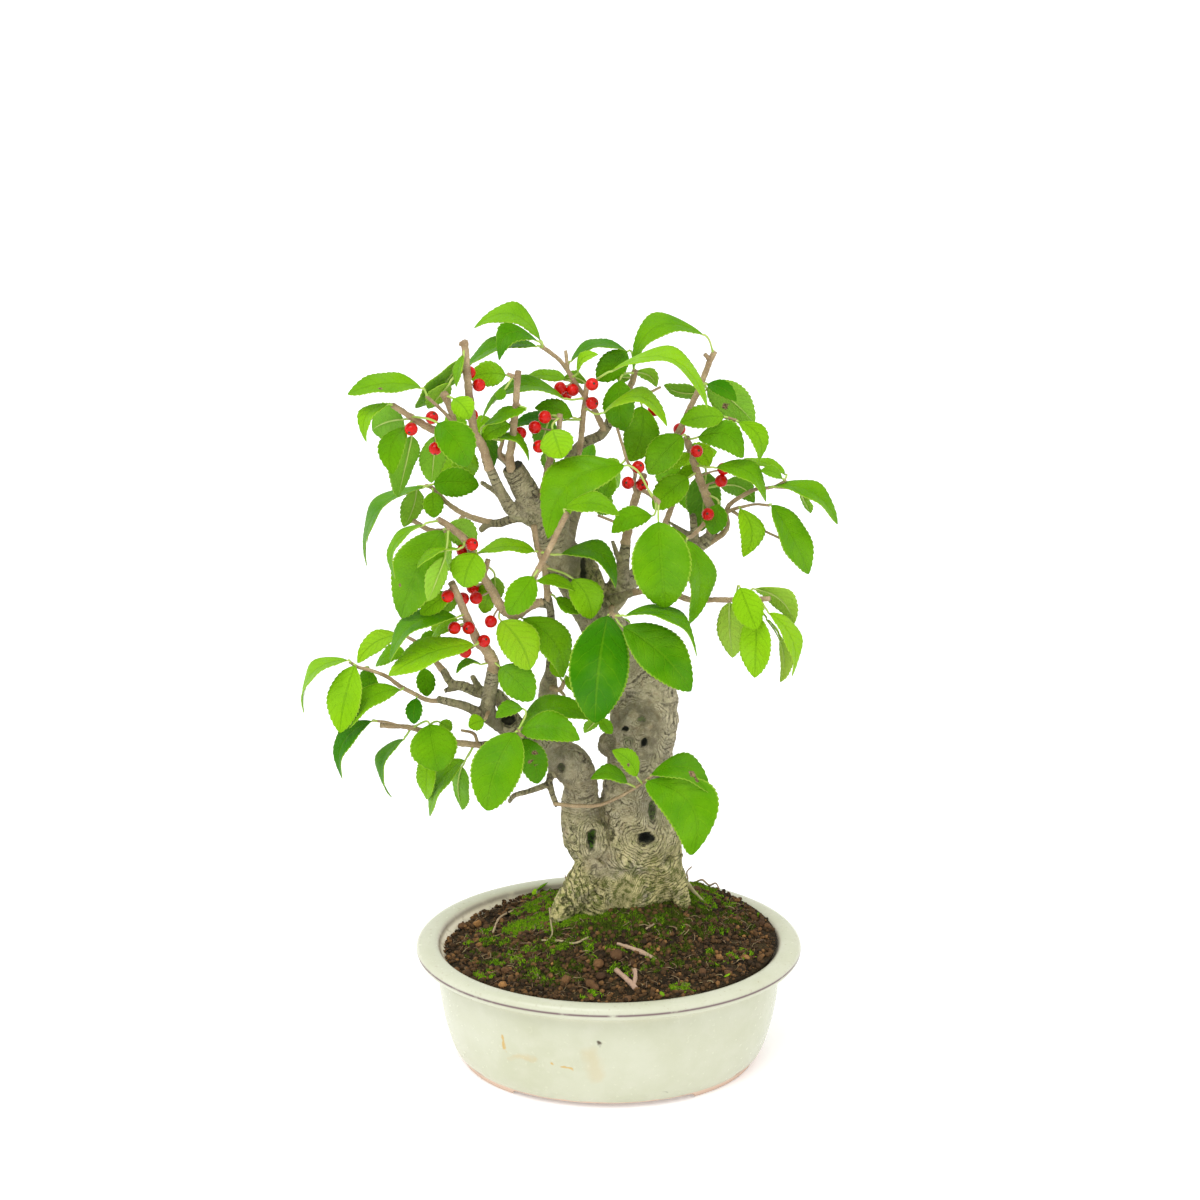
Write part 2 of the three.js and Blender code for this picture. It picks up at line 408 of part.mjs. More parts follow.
    leaves: [[-3.5, 137.5, 1.3, 131, 4.5, 1, 2, 0, 1], [-4.5, 137.5, -9.5, 131.5, 4, 0, -3, 0, -1]],
    berries: [],
  },
  shoot_low_right: {
    wood: [[[-21.5, 101.2, 16.5, 0.8], [-12, 100.2, 17.5, 0.75], [-4, 100.5, 18.5, 0.7], [2, 103, 19.5, 0.65],
      [8, 106.5, 21, 0.6], [13, 110, 23, 0.6], [17, 113.5, 26, 0.55]]],
    leaves: [
      [7.3, 110.3, -7, 112, 6, 2, 3, -3, 1], [11, 113, 1.2, 124, 7, 2, 1, -2, 1],
      [16.5, 113.8, 39.3, 105.5, 9.5, 1, 1, 6.5, 1], [15, 111, 33, 79, 21, 2, 7, 9.5, 1],
    ],
    berries: [],
  },
  shoot_back_centre: {
    wood: [[[-10.8, 226, -20, 1.7], [-8, 234, -30, 1.3], [-5, 240, -40, 0.9]]],
    leaves: [
      [-7, 238, -20, 227, 10, -2, -14, -2, 1], [-4, 240, 4, 232, 9, -3, -14, 2, 1],
      [-12, 231, -19, 217, 11, -4, -8, 0, 1], [-6, 241, -13, 246, 9, -6, -16, -2, 1],
      [-8, 230, 1, 221, 9, -5, -10, 1, 1],
    ],
    berries: [],
  },
  shoot_back_right: {
    wood: [[[18, 210, -30, 1.6], [21, 217, -37, 1.3], [24, 226, -43, 1.1], [28, 238, -50, 0.8]]],
    leaves: [
      [20, 213, 12, 200, 11, -3, -9, -1, 1], [23, 216, 28, 199, 11, -3, -8, 1, 1],
      [25, 229, 36, 220, 9, -3, -13, 2, 1], [25, 231, 19, 243, 10, -4, -12, 0, 1],
      [28, 240, 40, 246, 9, -3, -12, 2, 1],
    ],
    berries: [],
  },
  shoot_back_left: {
    wood: [[[-42.5, 245.5, -16, 1.4], [-49, 249, -27, 1.1], [-55, 250, -36, 0.9], [-60, 248, -43, 0.7]]],
    leaves: [
      [-58, 250, -56, 262, 9, -2, -10, 0, 1], [-61, 247, -63, 236, 9, -2, -8, 0, 1],
      [-53, 247, -54, 234, 10, -4, -8, 0, 1], [-50, 251, -44, 259, 8, -3, -10, 1, 1],
    ],
    berries: [],
  },
  shoot_back_low: {
    wood: [[[10.3, 165.5, -30, 1.6], [8, 171, -39, 1.2], [3, 173, -47, 0.9]]],
    leaves: [
      [2, 174, -7, 160, 11, -2, -10, -1, 1], [9, 169, 22, 164, 10, -3, -12, 2, 1],
      [6, 168, -1, 149, 11, -3, -4, 0, 1], [3, 177, 8, 166, 8, -8, -16, 0, 1],
    ],
    berries: [],
  },
};

// Solids

function solidOf(geometry) {
  const bare = geometry.clone();
  bare.deleteAttribute('normal');
  bare.deleteAttribute('uv');
  const merged = mergeVertices(bare, 1e-4);
  const vertProperties = new Float32Array(merged.attributes.position.array);
  const triVerts = new Uint32Array(merged.index.array);
  return new wasm.Manifold(new wasm.Mesh({ numProp: 3, vertProperties, triVerts }));
}

// The outer skin of a solid's largest body, without loose scraps or the sealed gaps between crossing blades
function geometryOf(solid) {
  const { vertProperties, triVerts } = solid.getMesh();
  const owner = Array.from({ length: vertProperties.length / 3 }, (_, i) => i);
  const rootOf = (i) => {
    let at = i;
    while (owner[at] !== at) at = owner[at];
    return at;
  };
  for (let i = 0; i < triVerts.length; i += 3) {
    owner[rootOf(triVerts[i + 1])] = rootOf(triVerts[i]);
    owner[rootOf(triVerts[i + 2])] = rootOf(triVerts[i]);
  }
  const corner = (i) => new THREE.Vector3().fromArray(vertProperties, 3 * triVerts[i]);
  const skins = new Map();
  for (let i = 0; i < triVerts.length; i += 3) {
    const root = rootOf(triVerts[i]);
    const skin = skins.get(root) ?? { volume: 0, index: [] };
    skin.volume += corner(i).dot(corner(i + 1).cross(corner(i + 2))) / 6;
    skin.index.push(triVerts[i], triVerts[i + 1], triVerts[i + 2]);
    skins.set(root, skin);
  }
  const largest = [...skins.values()].reduce((best, skin) => (skin.volume > best.volume ? skin : best));
  const geometry = new THREE.BufferGeometry();
  geometry.setAttribute('position', new THREE.BufferAttribute(new Float32Array(vertProperties), 3));
  geometry.setIndex(largest.index);
  const faceted = geometry.toNonIndexed();
  faceted.computeVertexNormals();
  return faceted;
}

function joined(solids) {
  return solids.reduce((sum, solid) => sum.add(solid));
}

function moved(geometry, change) {
  const positions = geometry.attributes.position;
  const point = new THREE.Vector3();
  for (let i = 0; i < positions.count; i += 1) {
    point.fromBufferAttribute(positions, i);
    change(point);
    positions.setXYZ(i, point.x, point.y, point.z);
  }
  return geometry;
}

// Wood

function sidesFor(radius) {
  if (radius > 10) return 10;
  if (radius > 5) return 7;
  if (radius > 2.9) return 6;
  if (radius > 1.7) return 5;
  return radius > 1.1 ? 4 : 3;
}

// A round limb through the rows: a cylinder bent along their curve, with a ring at each row
function limb(rows, extra) {
  const curve = new THREE.CatmullRomCurve3(rows.map((row) => place(...row)), false, 'centripetal');
  const thickest = Math.max(...rows.map((row) => row[3]));
  const steps = rows.length - 1;
  const middles = [];
  const across = [];
  let side = new THREE.Vector3(0, 1, 0).cross(curve.getTangent(0));
  if (side.length() < 0.3) side = new THREE.Vector3(1, 0, 0);
  for (let i = 0; i <= steps; i += 1) {
    const tangent = curve.getTangent(i / steps);
    side = side.clone().addScaledVector(tangent, -side.dot(tangent)).normalize();
    middles.push(curve.getPoint(i / steps));
    across.push([side, tangent.clone().cross(side)]);
  }
  middles[0].addScaledVector(curve.getTangent(0), -extra);
  middles[steps].addScaledVector(curve.getTangent(1), extra);
  const geometry = new THREE.CylinderGeometry(1, 1, 1, sidesFor(thickest), steps);
  return solidOf(moved(geometry, (point) => {
    const ring = Math.round((point.y + 0.5) * steps);
    const radius = rows[ring][3] + extra;
    const [first, second] = across[ring];
    const { x, z } = point;
    point.copy(middles[ring]).addScaledVector(second, x * radius).addScaledVector(first, z * radius);
  }));
}

function butt(extra) {
  const last = BUTT_RINGS.length - 1;
  const geometry = new THREE.CylinderGeometry(1, 1, 1, BUTT_SIDES, last);
  return solidOf(moved(geometry, (point) => {
    const [z, middleX, halfWidth, halfDepth] = BUTT_RINGS[Math.round((point.y + 0.5) * last)];
    const angle = Math.atan2(point.z, point.x);
    const flute = 1 + FLUTE_SHARE * Math.cos(FLUTES * angle + 0.6);
    const centre = place(middleX, z, 0);
    const end = z === BUTT_RINGS[0][0] ? -extra : 0;
    const { x } = point;
    const y = -point.z;
    point.set(x * (halfWidth * flute + extra), y * (halfDepth * flute + extra), end).add(centre);
  }));
}

function burl([x, z, ahead, radius], extra) {
  const centre = place(x, z, ahead);
  const geometry = new THREE.SphereGeometry(radius + extra, 7, 4);
  geometry.rotateX(Math.PI / 2).scale(1, BURL_DEPTH_RATIO, 1)
    .translate(centre.x, centre.y, centre.z);
  return solidOf(geometry);
}

function hollow([x, z, ahead, halfWidth, halfHeight]) {
  const centre = place(x, z, ahead);
  const geometry = new THREE.IcosahedronGeometry(1, 0);
  geometry.scale(halfWidth, HOLLOW_DEPTH, halfHeight).translate(centre.x, centre.y, centre.z);
  return solidOf(geometry);
}

function trunkSolid(extra) {
  const wood = [...TRUNK_LIMBS, ...ROOTS].map((rows) => limb(rows, extra));
  const lumps = BURLS.map((row) => burl(row, extra));
  return joined([butt(extra), ...wood, ...lumps]);
}

// Leaves and berries

// Share of the half width at a share of the blade's length: broad in the middle, drawn out at the tip
function outline(t) {
  return Math.sin(Math.PI * t ** 0.86) ** 0.8;
}

// Stations on the blade's edge, as [share of the length, factor on the half width], and on its midrib,
// for blades up to each length. The two longest kinds have a tooth on each side.
const BLADE_KINDS = [
  { upTo: 12, edge: [[0.45, 1.1]], mids: [] },
  { upTo: 17, edge: [[0.24, 1.08], [0.64, 1.06]], mids: [] },
  { upTo: 25, edge: [[0.24, 1.08], [0.64, 1.06]], mids: [0.45] },
  { upTo: Infinity, edge: [[0.16, 1.06], [0.4, 1.1], [0.5, 0.97], [0.76, 1.04]], mids: [0.5] },
];

// Which way the blade faces: its width is turned about the midrib until it looks as wide as it should
function acrossBlade(direction, toEye, seenShare, face) {
  const level = toEye.clone().cross(direction).normalize();
  const lean = direction.clone().cross(level);
  const cosine = Math.min(1, seenShare);
  const sine = Math.sqrt(1 - cosine * cosine);
  let best = null;
  for (const [a, b] of [[1, 1], [1, -1], [-1, 1], [-1, -1]]) {
    const side = level.clone().multiplyScalar(a * cosine).addScaledVector(lean, b * sine);
    const normal = direction.clone().cross(side);
    const facing = normal.dot(toEye) * face >= -1e-6;
    if (facing && (!best || normal.z > best.normal.z)) best = { side, normal };
  }
  return best;
}

// Triangles of one half of the blade, between its edge and its midrib. Both end on the tip.
function halfStrip(edge, mids, turned) {
  const faces = [];
  let i = 0;
  let j = 0;
  while (i < edge.length - 1 || j < mids.length - 1) {
    const stepEdge = j === mids.length - 1 || (i < edge.length - 1 && edge[i + 1].t <= mids[j + 1].t);
    const next = stepEdge ? edge[i + 1] : mids[j + 1];
    const face = [mids[j].id, next.id, edge[i].id];
    if (new Set(face).size === 3) faces.push(turned ? face.reverse() : face);
    if (stepEdge) i += 1;
    else j += 1;
  }
  return faces;
}

// A blade with its petiole as one thin closed sheet, split into the same triangles on both faces
function leaf(row, twigs) {
  const [baseX, baseZ, tipX, tipZ, seenWidth, baseOut, tipOut, bow, face] = row;
  const { ahead } = nearestOnTwigs(baseX, baseZ, twigs);
  const base = place(baseX, baseZ, ahead + baseOut);
  const tip = place(tipX, tipZ, ahead + baseOut + tipOut);
  const chord = tip.clone().sub(base);
  const length = chord.length();
  const direction = chord.clone().normalize();
  const toEye = EYE.clone().sub(base).normalize();
  const width = Math.min(Math.max(seenWidth, LEAF_WIDTH_RATIO * length), LARGEST_LEAF_WIDTH);
  const { side, normal } = acrossBlade(direction, toEye, seenWidth / width, face);
  const left = toEye.clone().cross(direction).normalize();
  const bend = base.clone().add(tip).multiplyScalar(0.5).addScaledVector(left, 2 * bow);
  bend.addScaledVector(toEye, 2 * LEAF_ARCH * length * normal.dot(toEye));
  const midrib = new THREE.QuadraticBezierCurve3(base, bend, tip);
  const kind = BLADE_KINDS.find(({ upTo }) => length <= upTo);
  const points = [];
  const add = (position, t, up) => {
    points.push({ position, up });
    return { id: points.length - 1, t };
  };
  const onEdge = (t, factor, sign) => {
    const half = (width / 2) * outline(t) * factor;
    return midrib.getPoint(t).addScaledVector(side, sign * half).addScaledVector(normal, half * LEAF_FOLD);
  };
  const start = bend.clone().sub(base).normalize();
  const twig = anchorOf(base, start, twigs);
  const petiole = base.clone().sub(twig.point).normalize();
  const mitre = petiole.clone().add(start).normalize();
  const baseUp = normal.clone().addScaledVector(mitre, -normal.dot(mitre)).normalize();
  const baseSide = baseUp.clone().cross(mitre);
  const rootUp = baseUp.clone().addScaledVector(petiole, -baseUp.dot(petiole)).normalize();
  const root = add(twig.point.clone().addScaledVector(petiole, -ROOT_DEPTH * twig.radius), 0, rootUp);
  const right = [add(base.clone().addScaledVector(baseSide, -PETIOLE_HALF_WIDTH), 0, baseUp)];
  const leftSide = [add(base.clone().addScaledVector(baseSide, PETIOLE_HALF_WIDTH), 0, baseUp)];
  for (const [t, factor] of kind.edge) {
    right.push(add(onEdge(t, factor, -1), t, normal));
    leftSide.push(add(onEdge(t, factor, 1), t, normal));
  }
  const end = add(tip.clone(), 1, normal);
  const mids = [...kind.mids.map((t) => add(midrib.getPoint(t), t, normal)), end];
  const faces = [[root.id, right[0].id, leftSide[0].id], [right[0].id, mids[0].id, leftSide[0].id]];
  faces.push(...halfStrip([...leftSide, end], mids, false));
  faces.push(...halfStrip([...right, end], mids, true));
  const rim = [root, ...right, end, ...leftSide.reverse()].map((corner) => corner.id);
  return solidOf(sheet(points, faces, rim));
}

// A sheet of LEAF_THICKNESS about the points, with the rim closed by a narrow wall
function sheet(points, faces, rim) {
  const count = points.length;
  const half = LEAF_THICKNESS / 2;
  const above = points.map(({ position, up }) => position.clone().addScaledVector(up, half));
  const below = points.map(({ position, up }) => position.clone().addScaledVector(up, -half));
  const index = [];
  for (const [a, b, c] of faces) {
    index.push(a, b, c, c + count, b + count, a + count);
  }
  rim.forEach((a, k) => {
    const b = rim[(k + 1) % rim.length];
    index.push(a, a + count, b + count, a, b + count, b);
  });
  const geometry = new THREE.BufferGeometry().setFromPoints([...above, ...below]);
  geometry.setIndex(index);
  return geometry;
}

// The share of a twig's row that a leaf may grow from: clear of the length sunk in the trunk and of cut ends
function growingShares(rows, i, twigs) {
  const [ax, az, aAhead] = rows[i];
  const [bx, bz, bAhead] = rows[i + 1];
  const segment = Math.hypot(bx - ax, bz - az, bAhead - aAhead);
  const least = rows === twigs[0] && i === 0 ? Math.min(SUNK_LENGTH / segment, 1) : 0;
  const most = i === rows.length - 2 ? 1 - END_MARGIN / segment : 1;
  return [least, most];
}

function twigPoint(rows, i, share) {
  const [x, z, ahead, radius] = rows[i].map((value, k) => value + share * (rows[i + 1][k] - value));
  return { ahead, radius, point: place(x, z, ahead) };
}

// The point of the shoot's wood that lies nearest to a place on the upright plane
function nearestOnTwigs(x, z, twigs) {
  let best = { distance: Infinity };
  for (const rows of twigs) {
    for (let i = 0; i < rows.length - 1; i += 1) {
      const [ax, az] = rows[i];
      const spanX = rows[i + 1][0] - ax;
      const spanZ = rows[i + 1][1] - az;
      const along = ((x - ax) * spanX + (z - az) * spanZ) / (spanX * spanX + spanZ * spanZ);
      const share = THREE.MathUtils.clamp(along, ...growingShares(rows, i, twigs));
      const distance = Math.hypot(x - ax - share * spanX, z - az - share * spanZ);
      if (distance < best.distance) best = { distance, ...twigPoint(rows, i, share) };
    }
  }
  return best;
}

// Where a petiole leaves the twig: near the blade's base, with no sharp turn back at the base
function anchorOf(base, direction, twigs) {
  let best = { cost: Infinity };
  for (const rows of twigs) {
    for (let i = 0; i < rows.length - 1; i += 1) {
      const [least, most] = growingShares(rows, i, twigs);
      for (const step of [0, 0.25, 0.5, 0.75, 1]) {
        const spot = twigPoint(rows, i, least + step * (most - least));
        const petiole = base.clone().sub(spot.point);
        const turn = petiole.dot(direction) / petiole.length();
        const cost = (petiole.length() + TURN_LENGTH) * (TURN_COST - turn);
        if (cost < best.cost) best = { cost, ...spot };
      }
    }
  }
  return best;
}

function berry([x, z, out], twigs) {
  const twig = nearestOnTwigs(x, z, twigs);
  const centre = place(x, z, twig.ahead + out);
  const round = new THREE.IcosahedronGeometry(BERRY_RADIUS, 0).translate(centre.x, centre.y, centre.z);
  const stalk = centre.clone().sub(twig.point);
  const length = stalk.length();
  const rod = new THREE.CylinderGeometry(STALK_RADIUS, STALK_RADIUS, length, 3);
  const turn = new THREE.Quaternion().setFromUnitVectors(new THREE.Vector3(0, 1, 0), stalk.normalize());
  const middle = centre.clone().add(twig.point).multiplyScalar(0.5);
  rod.applyQuaternion(turn).translate(middle.x, middle.y, middle.z);
  return solidOf(round).add(solidOf(rod));
}

function shootSolid({ wood, leaves, berries }, clearance) {
  const stems = wood.map((rows) => limb(rows, 0));
  const blades = leaves.map((row) => leaf(row, wood));
  const fruit = berries.map((row) => berry(row, wood));
  return joined([...stems, ...blades, ...fruit]).subtract(clearance);
}

// Pot, soil and drainage

// Half width of the pot's inner face at a height
function innerHalfWidth(z) {
  const face = [[FLOOR_TOP, 50], [9, 55], [42, 61.8], [49.4, 66.4], [60, 66.4]];
  const row = Math.max(1, face.findIndex(([height]) => height >= z));
  const [lowZ, lowR] = face[row - 1];
  const [highZ, highR] = face[row];
  return THREE.MathUtils.mapLinear(z, lowZ, highZ, lowR, highR);
}

function potSolid() {
  const lip = POT_HALF_WIDTH;
  const outside = [[50.4, 0], [56, 0], [60, 4.6], [63.3, 13.5], [66, 28], [66.8, 43.4],
    [lip - 1.3, 44.4], [lip, 47], [lip - 1.4, 49.4], [lip - 4, POT_HEIGHT], [innerHalfWidth(49.4), 49.4]];
  const inside = [42, 9].map((z) => [innerHalfWidth(z), z]);
  const profile = [[0, FOOT_HEIGHT + 0.2], [50, FOOT_HEIGHT], ...outside, ...inside,
    [innerHalfWidth(FLOOR_TOP), FLOOR_TOP], [0, FLOOR_TOP]];
  const geometry = new THREE.LatheGeometry(profile.map(([r, z]) => new THREE.Vector2(r, z)), POT_SEGMENTS);
  geometry.rotateX(Math.PI / 2).scale(1, POT_DEPTH_RATIO, 1);
  let solid = solidOf(geometry);
  for (const x of [-DRAIN_HOLE_X, DRAIN_HOLE_X]) {
    const hole = new THREE.CylinderGeometry(DRAIN_HOLE_RADIUS, DRAIN_HOLE_RADIUS, 20, 12);
    solid = solid.subtract(solidOf(hole.rotateX(Math.PI / 2).translate(x, 0, 5)));
  }
  return solid.subtract(solidOf(footCutOut()));
}

// The shallow opening through the front and the back of the foot ring
function footCutOut() {
  const cut = new THREE.BoxGeometry(FOOT_OPENING_WIDTH, 2 * POT_HALF_WIDTH, 2.6);
  return cut.translate(FOOT_OPENING_X, 0, 0);
}

const SOIL_EDGE = 47.8;
const SOIL_DIP = 4.5;
const DIP_ANGLE = 2.3;
const MOUND_HEIGHT = 15;
const MOUND_SPREAD = 38;
const MOUND_X = 4;
const MOUND_Y = 10.7;

// The soil stands low behind on the left, close to the rim on the right, and rises round the trunk
function soilTop(x, y) {
  const angle = Math.atan2(y, x);
  const edge = SOIL_EDGE - SOIL_DIP * Math.max(0, Math.cos(angle - DIP_ANGLE)) + 0.8 * Math.cos(angle - 0.6);
  const distance = Math.hypot(x - MOUND_X, (y - MOUND_Y) * 1.15);
  return edge + MOUND_HEIGHT / (1 + (distance / MOUND_SPREAD) ** 4);
}

function soilSolid(trunkHole) {
  const rings = [0.8, 0.56];
  const bottom = FLOOR_TOP + GAP;
  const lower = [bottom, 9, 42].map((z) => [innerHalfWidth(z) - GAP - 0.1, z]);
  const profile = [[0, bottom], ...lower, [100, 60], ...rings.map((share) => [100 * share, 60]), [0, 60]];
  const geometry = new THREE.LatheGeometry(profile.map(([r, z]) => new THREE.Vector2(r, z)), POT_SEGMENTS);
  geometry.rotateX(Math.PI / 2);
  moved(geometry, (point) => {
    if (point.z > 59.9) {
      const share = Math.hypot(point.x, point.y) / 100;
      const angle = Math.atan2(point.y, point.x);
      const edgeX = 64.5 * Math.cos(angle);
      const edgeY = 64.5 * Math.sin(angle) * POT_DEPTH_RATIO;
      const reach = innerHalfWidth(soilTop(edgeX, edgeY)) - GAP - 0.1;
      point.x = reach * share * Math.cos(angle);
      point.y = reach * share * Math.sin(angle);
      point.z = soilTop(point.x, point.y * POT_DEPTH_RATIO);
    }
    point.y *= POT_DEPTH_RATIO;
  });
  let solid = solidOf(geometry).subtract(trunkHole);
  for (const x of [-DRAIN_HOLE_X, DRAIN_HOLE_X]) {
    const side = MESH_SIDE + 2 * GAP;
    const pocket = new THREE.BoxGeometry(side, side, 2 * (MESH_THICKNESS + 2 * GAP));
    solid = solid.subtract(solidOf(pocket.translate(x, 0, FLOOR_TOP)));
  }
  return solid;
}

// A square plastic screen with square holes, lying over a drain hole
function drainMesh() {
  const pitch = MESH_SIDE / 2.4;
  const open = pitch * MESH_HOLE_SHARE;
  let screen = solidOf(new THREE.BoxGeometry(MESH_SIDE, MESH_SIDE, MESH_THICKNESS));
  for (const i of [-0.5, 0.5]) {
    for (const j of [-0.5, 0.5]) {
      const hole = new THREE.BoxGeometry(open, open, 3 * MESH_THICKNESS);
      screen = screen.subtract(solidOf(hole.translate(i * pitch, j * pitch, 0)));
    }
  }
  return screen;
}

// Materials

const glaze = new THREE.MeshStandardMaterial({ color: 0xdedfc2, roughness: 0.25, metalness: 0 });
const earth = new THREE.MeshStandardMaterial({ color: 0x3b2a1d, roughness: 1, metalness: 0 });
const bark = new THREE.MeshStandardMaterial({ color: 0x8a8273, roughness: 0.9, metalness: 0 });
const foliage = new THREE.MeshStandardMaterial({ color: 0x4f9a1c, roughness: 0.5, metalness: 0 });
const screenPlastic = new THREE.MeshStandardMaterial({ color: 0x2a2c2b, roughness: 0.6, metalness: 0 });

// Assembly

const tree = new THREE.Group();

function addPart(name, geometry, material) {
  const mesh = new THREE.Mesh(geometry, material);
  mesh.name = name;
  tree.add(mesh);
  return mesh;
}

const trunkClearance = trunkSolid(GAP);
let trunk = trunkSolid(0);
for (const row of HOLLOWS) {
  trunk = trunk.subtract(hollow(row));
}
addPart('pot', geometryOf(potSolid()), glaze);
addPart('soil', geometryOf(soilSolid(trunkClearance)), earth);
addPart('trunk', geometryOf(trunk), bark);
for (const [name, shoot] of Object.entries(SHOOTS)) {
  addPart(name, geometryOf(shootSolid(shoot, trunkClearance)), foliage);
}
for (const [name, x] of [['drain_mesh_left', -DRAIN_HOLE_X], ['drain_mesh_right', DRAIN_HOLE_X]]) {
  const screen = addPart(name, geometryOf(drainMesh()), screenPlastic);
  screen.position.set(x, 0, FLOOR_TOP + GAP + MESH_THICKNESS / 2);
}

const box = new THREE.Box3().setFromObject(tree);
const middle = box.getCenter(new THREE.Vector3());
tree.position.set(-middle.x, -middle.y, -box.min.z);

const group = new THREE.Group();
group.add(tree);

export default group;
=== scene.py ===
import math

import bmesh
import bpy
import numpy as np
from mathutils import Matrix, Vector, noise


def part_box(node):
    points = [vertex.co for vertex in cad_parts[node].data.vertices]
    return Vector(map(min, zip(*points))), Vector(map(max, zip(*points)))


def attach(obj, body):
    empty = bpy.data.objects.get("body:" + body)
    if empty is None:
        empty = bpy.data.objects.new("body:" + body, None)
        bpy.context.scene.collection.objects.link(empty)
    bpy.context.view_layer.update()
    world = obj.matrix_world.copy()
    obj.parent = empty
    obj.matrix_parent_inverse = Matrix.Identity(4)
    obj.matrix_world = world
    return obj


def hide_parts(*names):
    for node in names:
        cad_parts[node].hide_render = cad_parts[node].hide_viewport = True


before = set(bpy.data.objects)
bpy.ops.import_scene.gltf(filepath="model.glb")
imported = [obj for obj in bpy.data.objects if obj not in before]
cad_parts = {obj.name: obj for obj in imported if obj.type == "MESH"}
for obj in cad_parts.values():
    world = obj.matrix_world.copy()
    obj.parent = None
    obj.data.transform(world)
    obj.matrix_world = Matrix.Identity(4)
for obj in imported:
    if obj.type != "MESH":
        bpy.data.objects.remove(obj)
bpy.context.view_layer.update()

# The tree is laid out in millimetres round the middle of the pot's foot, and each piece is set into the
# frame in metres when its mesh is done.
POT_LOW, POT_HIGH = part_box("pot")
POT_CENTRE = Vector(((POT_LOW.x + POT_HIGH.x) / 2, (POT_LOW.y + POT_HIGH.y) / 2, 0))
TO_FRAME = Matrix.Translation(POT_CENTRE) @ Matrix.Scale(0.001, 4)

# Driving dimensions of the pot
POT_DEPTH_RATIO = 0.75
DRAIN_HOLE_RADIUS = 6
DRAIN_HOLE_X = 24
SPIN_STEPS = 144
LIP_FOOT = 43.5

# Driving dimensions of the soil: a mound round the trunk's foot, and the crumb and moss on it
MOUND_HEIGHT = 15
MOUND_SPREAD = 38
MOUND_X = 4
MOUND_Y = 10.7
SOIL_GAP = 0.35
SOIL_REACH = 64.5
SOIL_RINGS = 46
SPRIG_RADIUS = 0.34
MOST_TRIES = 400000

# Driving dimensions of the plant
LEAF_THICKNESS = 0.26
SUNK_LENGTH = 4
END_MARGIN = 0.8
TURN_LENGTH = 2
TURN_COST = 1.5
LEAF_WIDTH_RATIO = 0.5
LARGEST_LEAF_WIDTH = 23
LEAF_FOLD = 0.12
LEAF_ARCH = 0.07
MIDRIB_DIP = 0.03
TOOTH_PITCH = 1.9
TOOTH_HEIGHT = 0.42
WAVE_HEIGHT = 0.08
CURL_START = 0.6
PUFF_HEIGHT = 0.032
VEIN_PAIRS = 7.0
VEIN_SWEEP = 1.9
VEIN_BEND = 1.3
BERRY_RADIUS = 2.4
STALK_RADIUS = 0.38
BARK_VOXEL = 0.64
KNOB_SCALE = 0.8
FLUTES = 5
FLUTE_DEPTH = 0.05
WRINKLE_PITCH = 2.3
FOOT_WRINKLE_PITCH = 1.05

# How many points of the bark look for their nearest wood at once
BATCH = 4000

# The rows of a blade's grid within one tooth, and how far the tooth stands out at each
STATIONS = (0, 0.42, 0.82)
TOOTH_SHARE = (0, 0.55, 1)

# Every place of the plant is written as [x, z, ahead]: x and z on the upright plane through the trunk,
# and the distance that it comes ahead of that plane along the line from a viewer standing at EYE.
EYE = Vector((-3.4, -1067.5, 619.3))
TRUNK_Y = 14.7
VIEW_PITCH = math.radians(21.8)
LENS = 92.4


def place(x, z, ahead):
    reach = 1 - ahead / (TRUNK_Y - EYE.y)
    return EYE + (Vector((x, TRUNK_Y, z)) - EYE) * reach


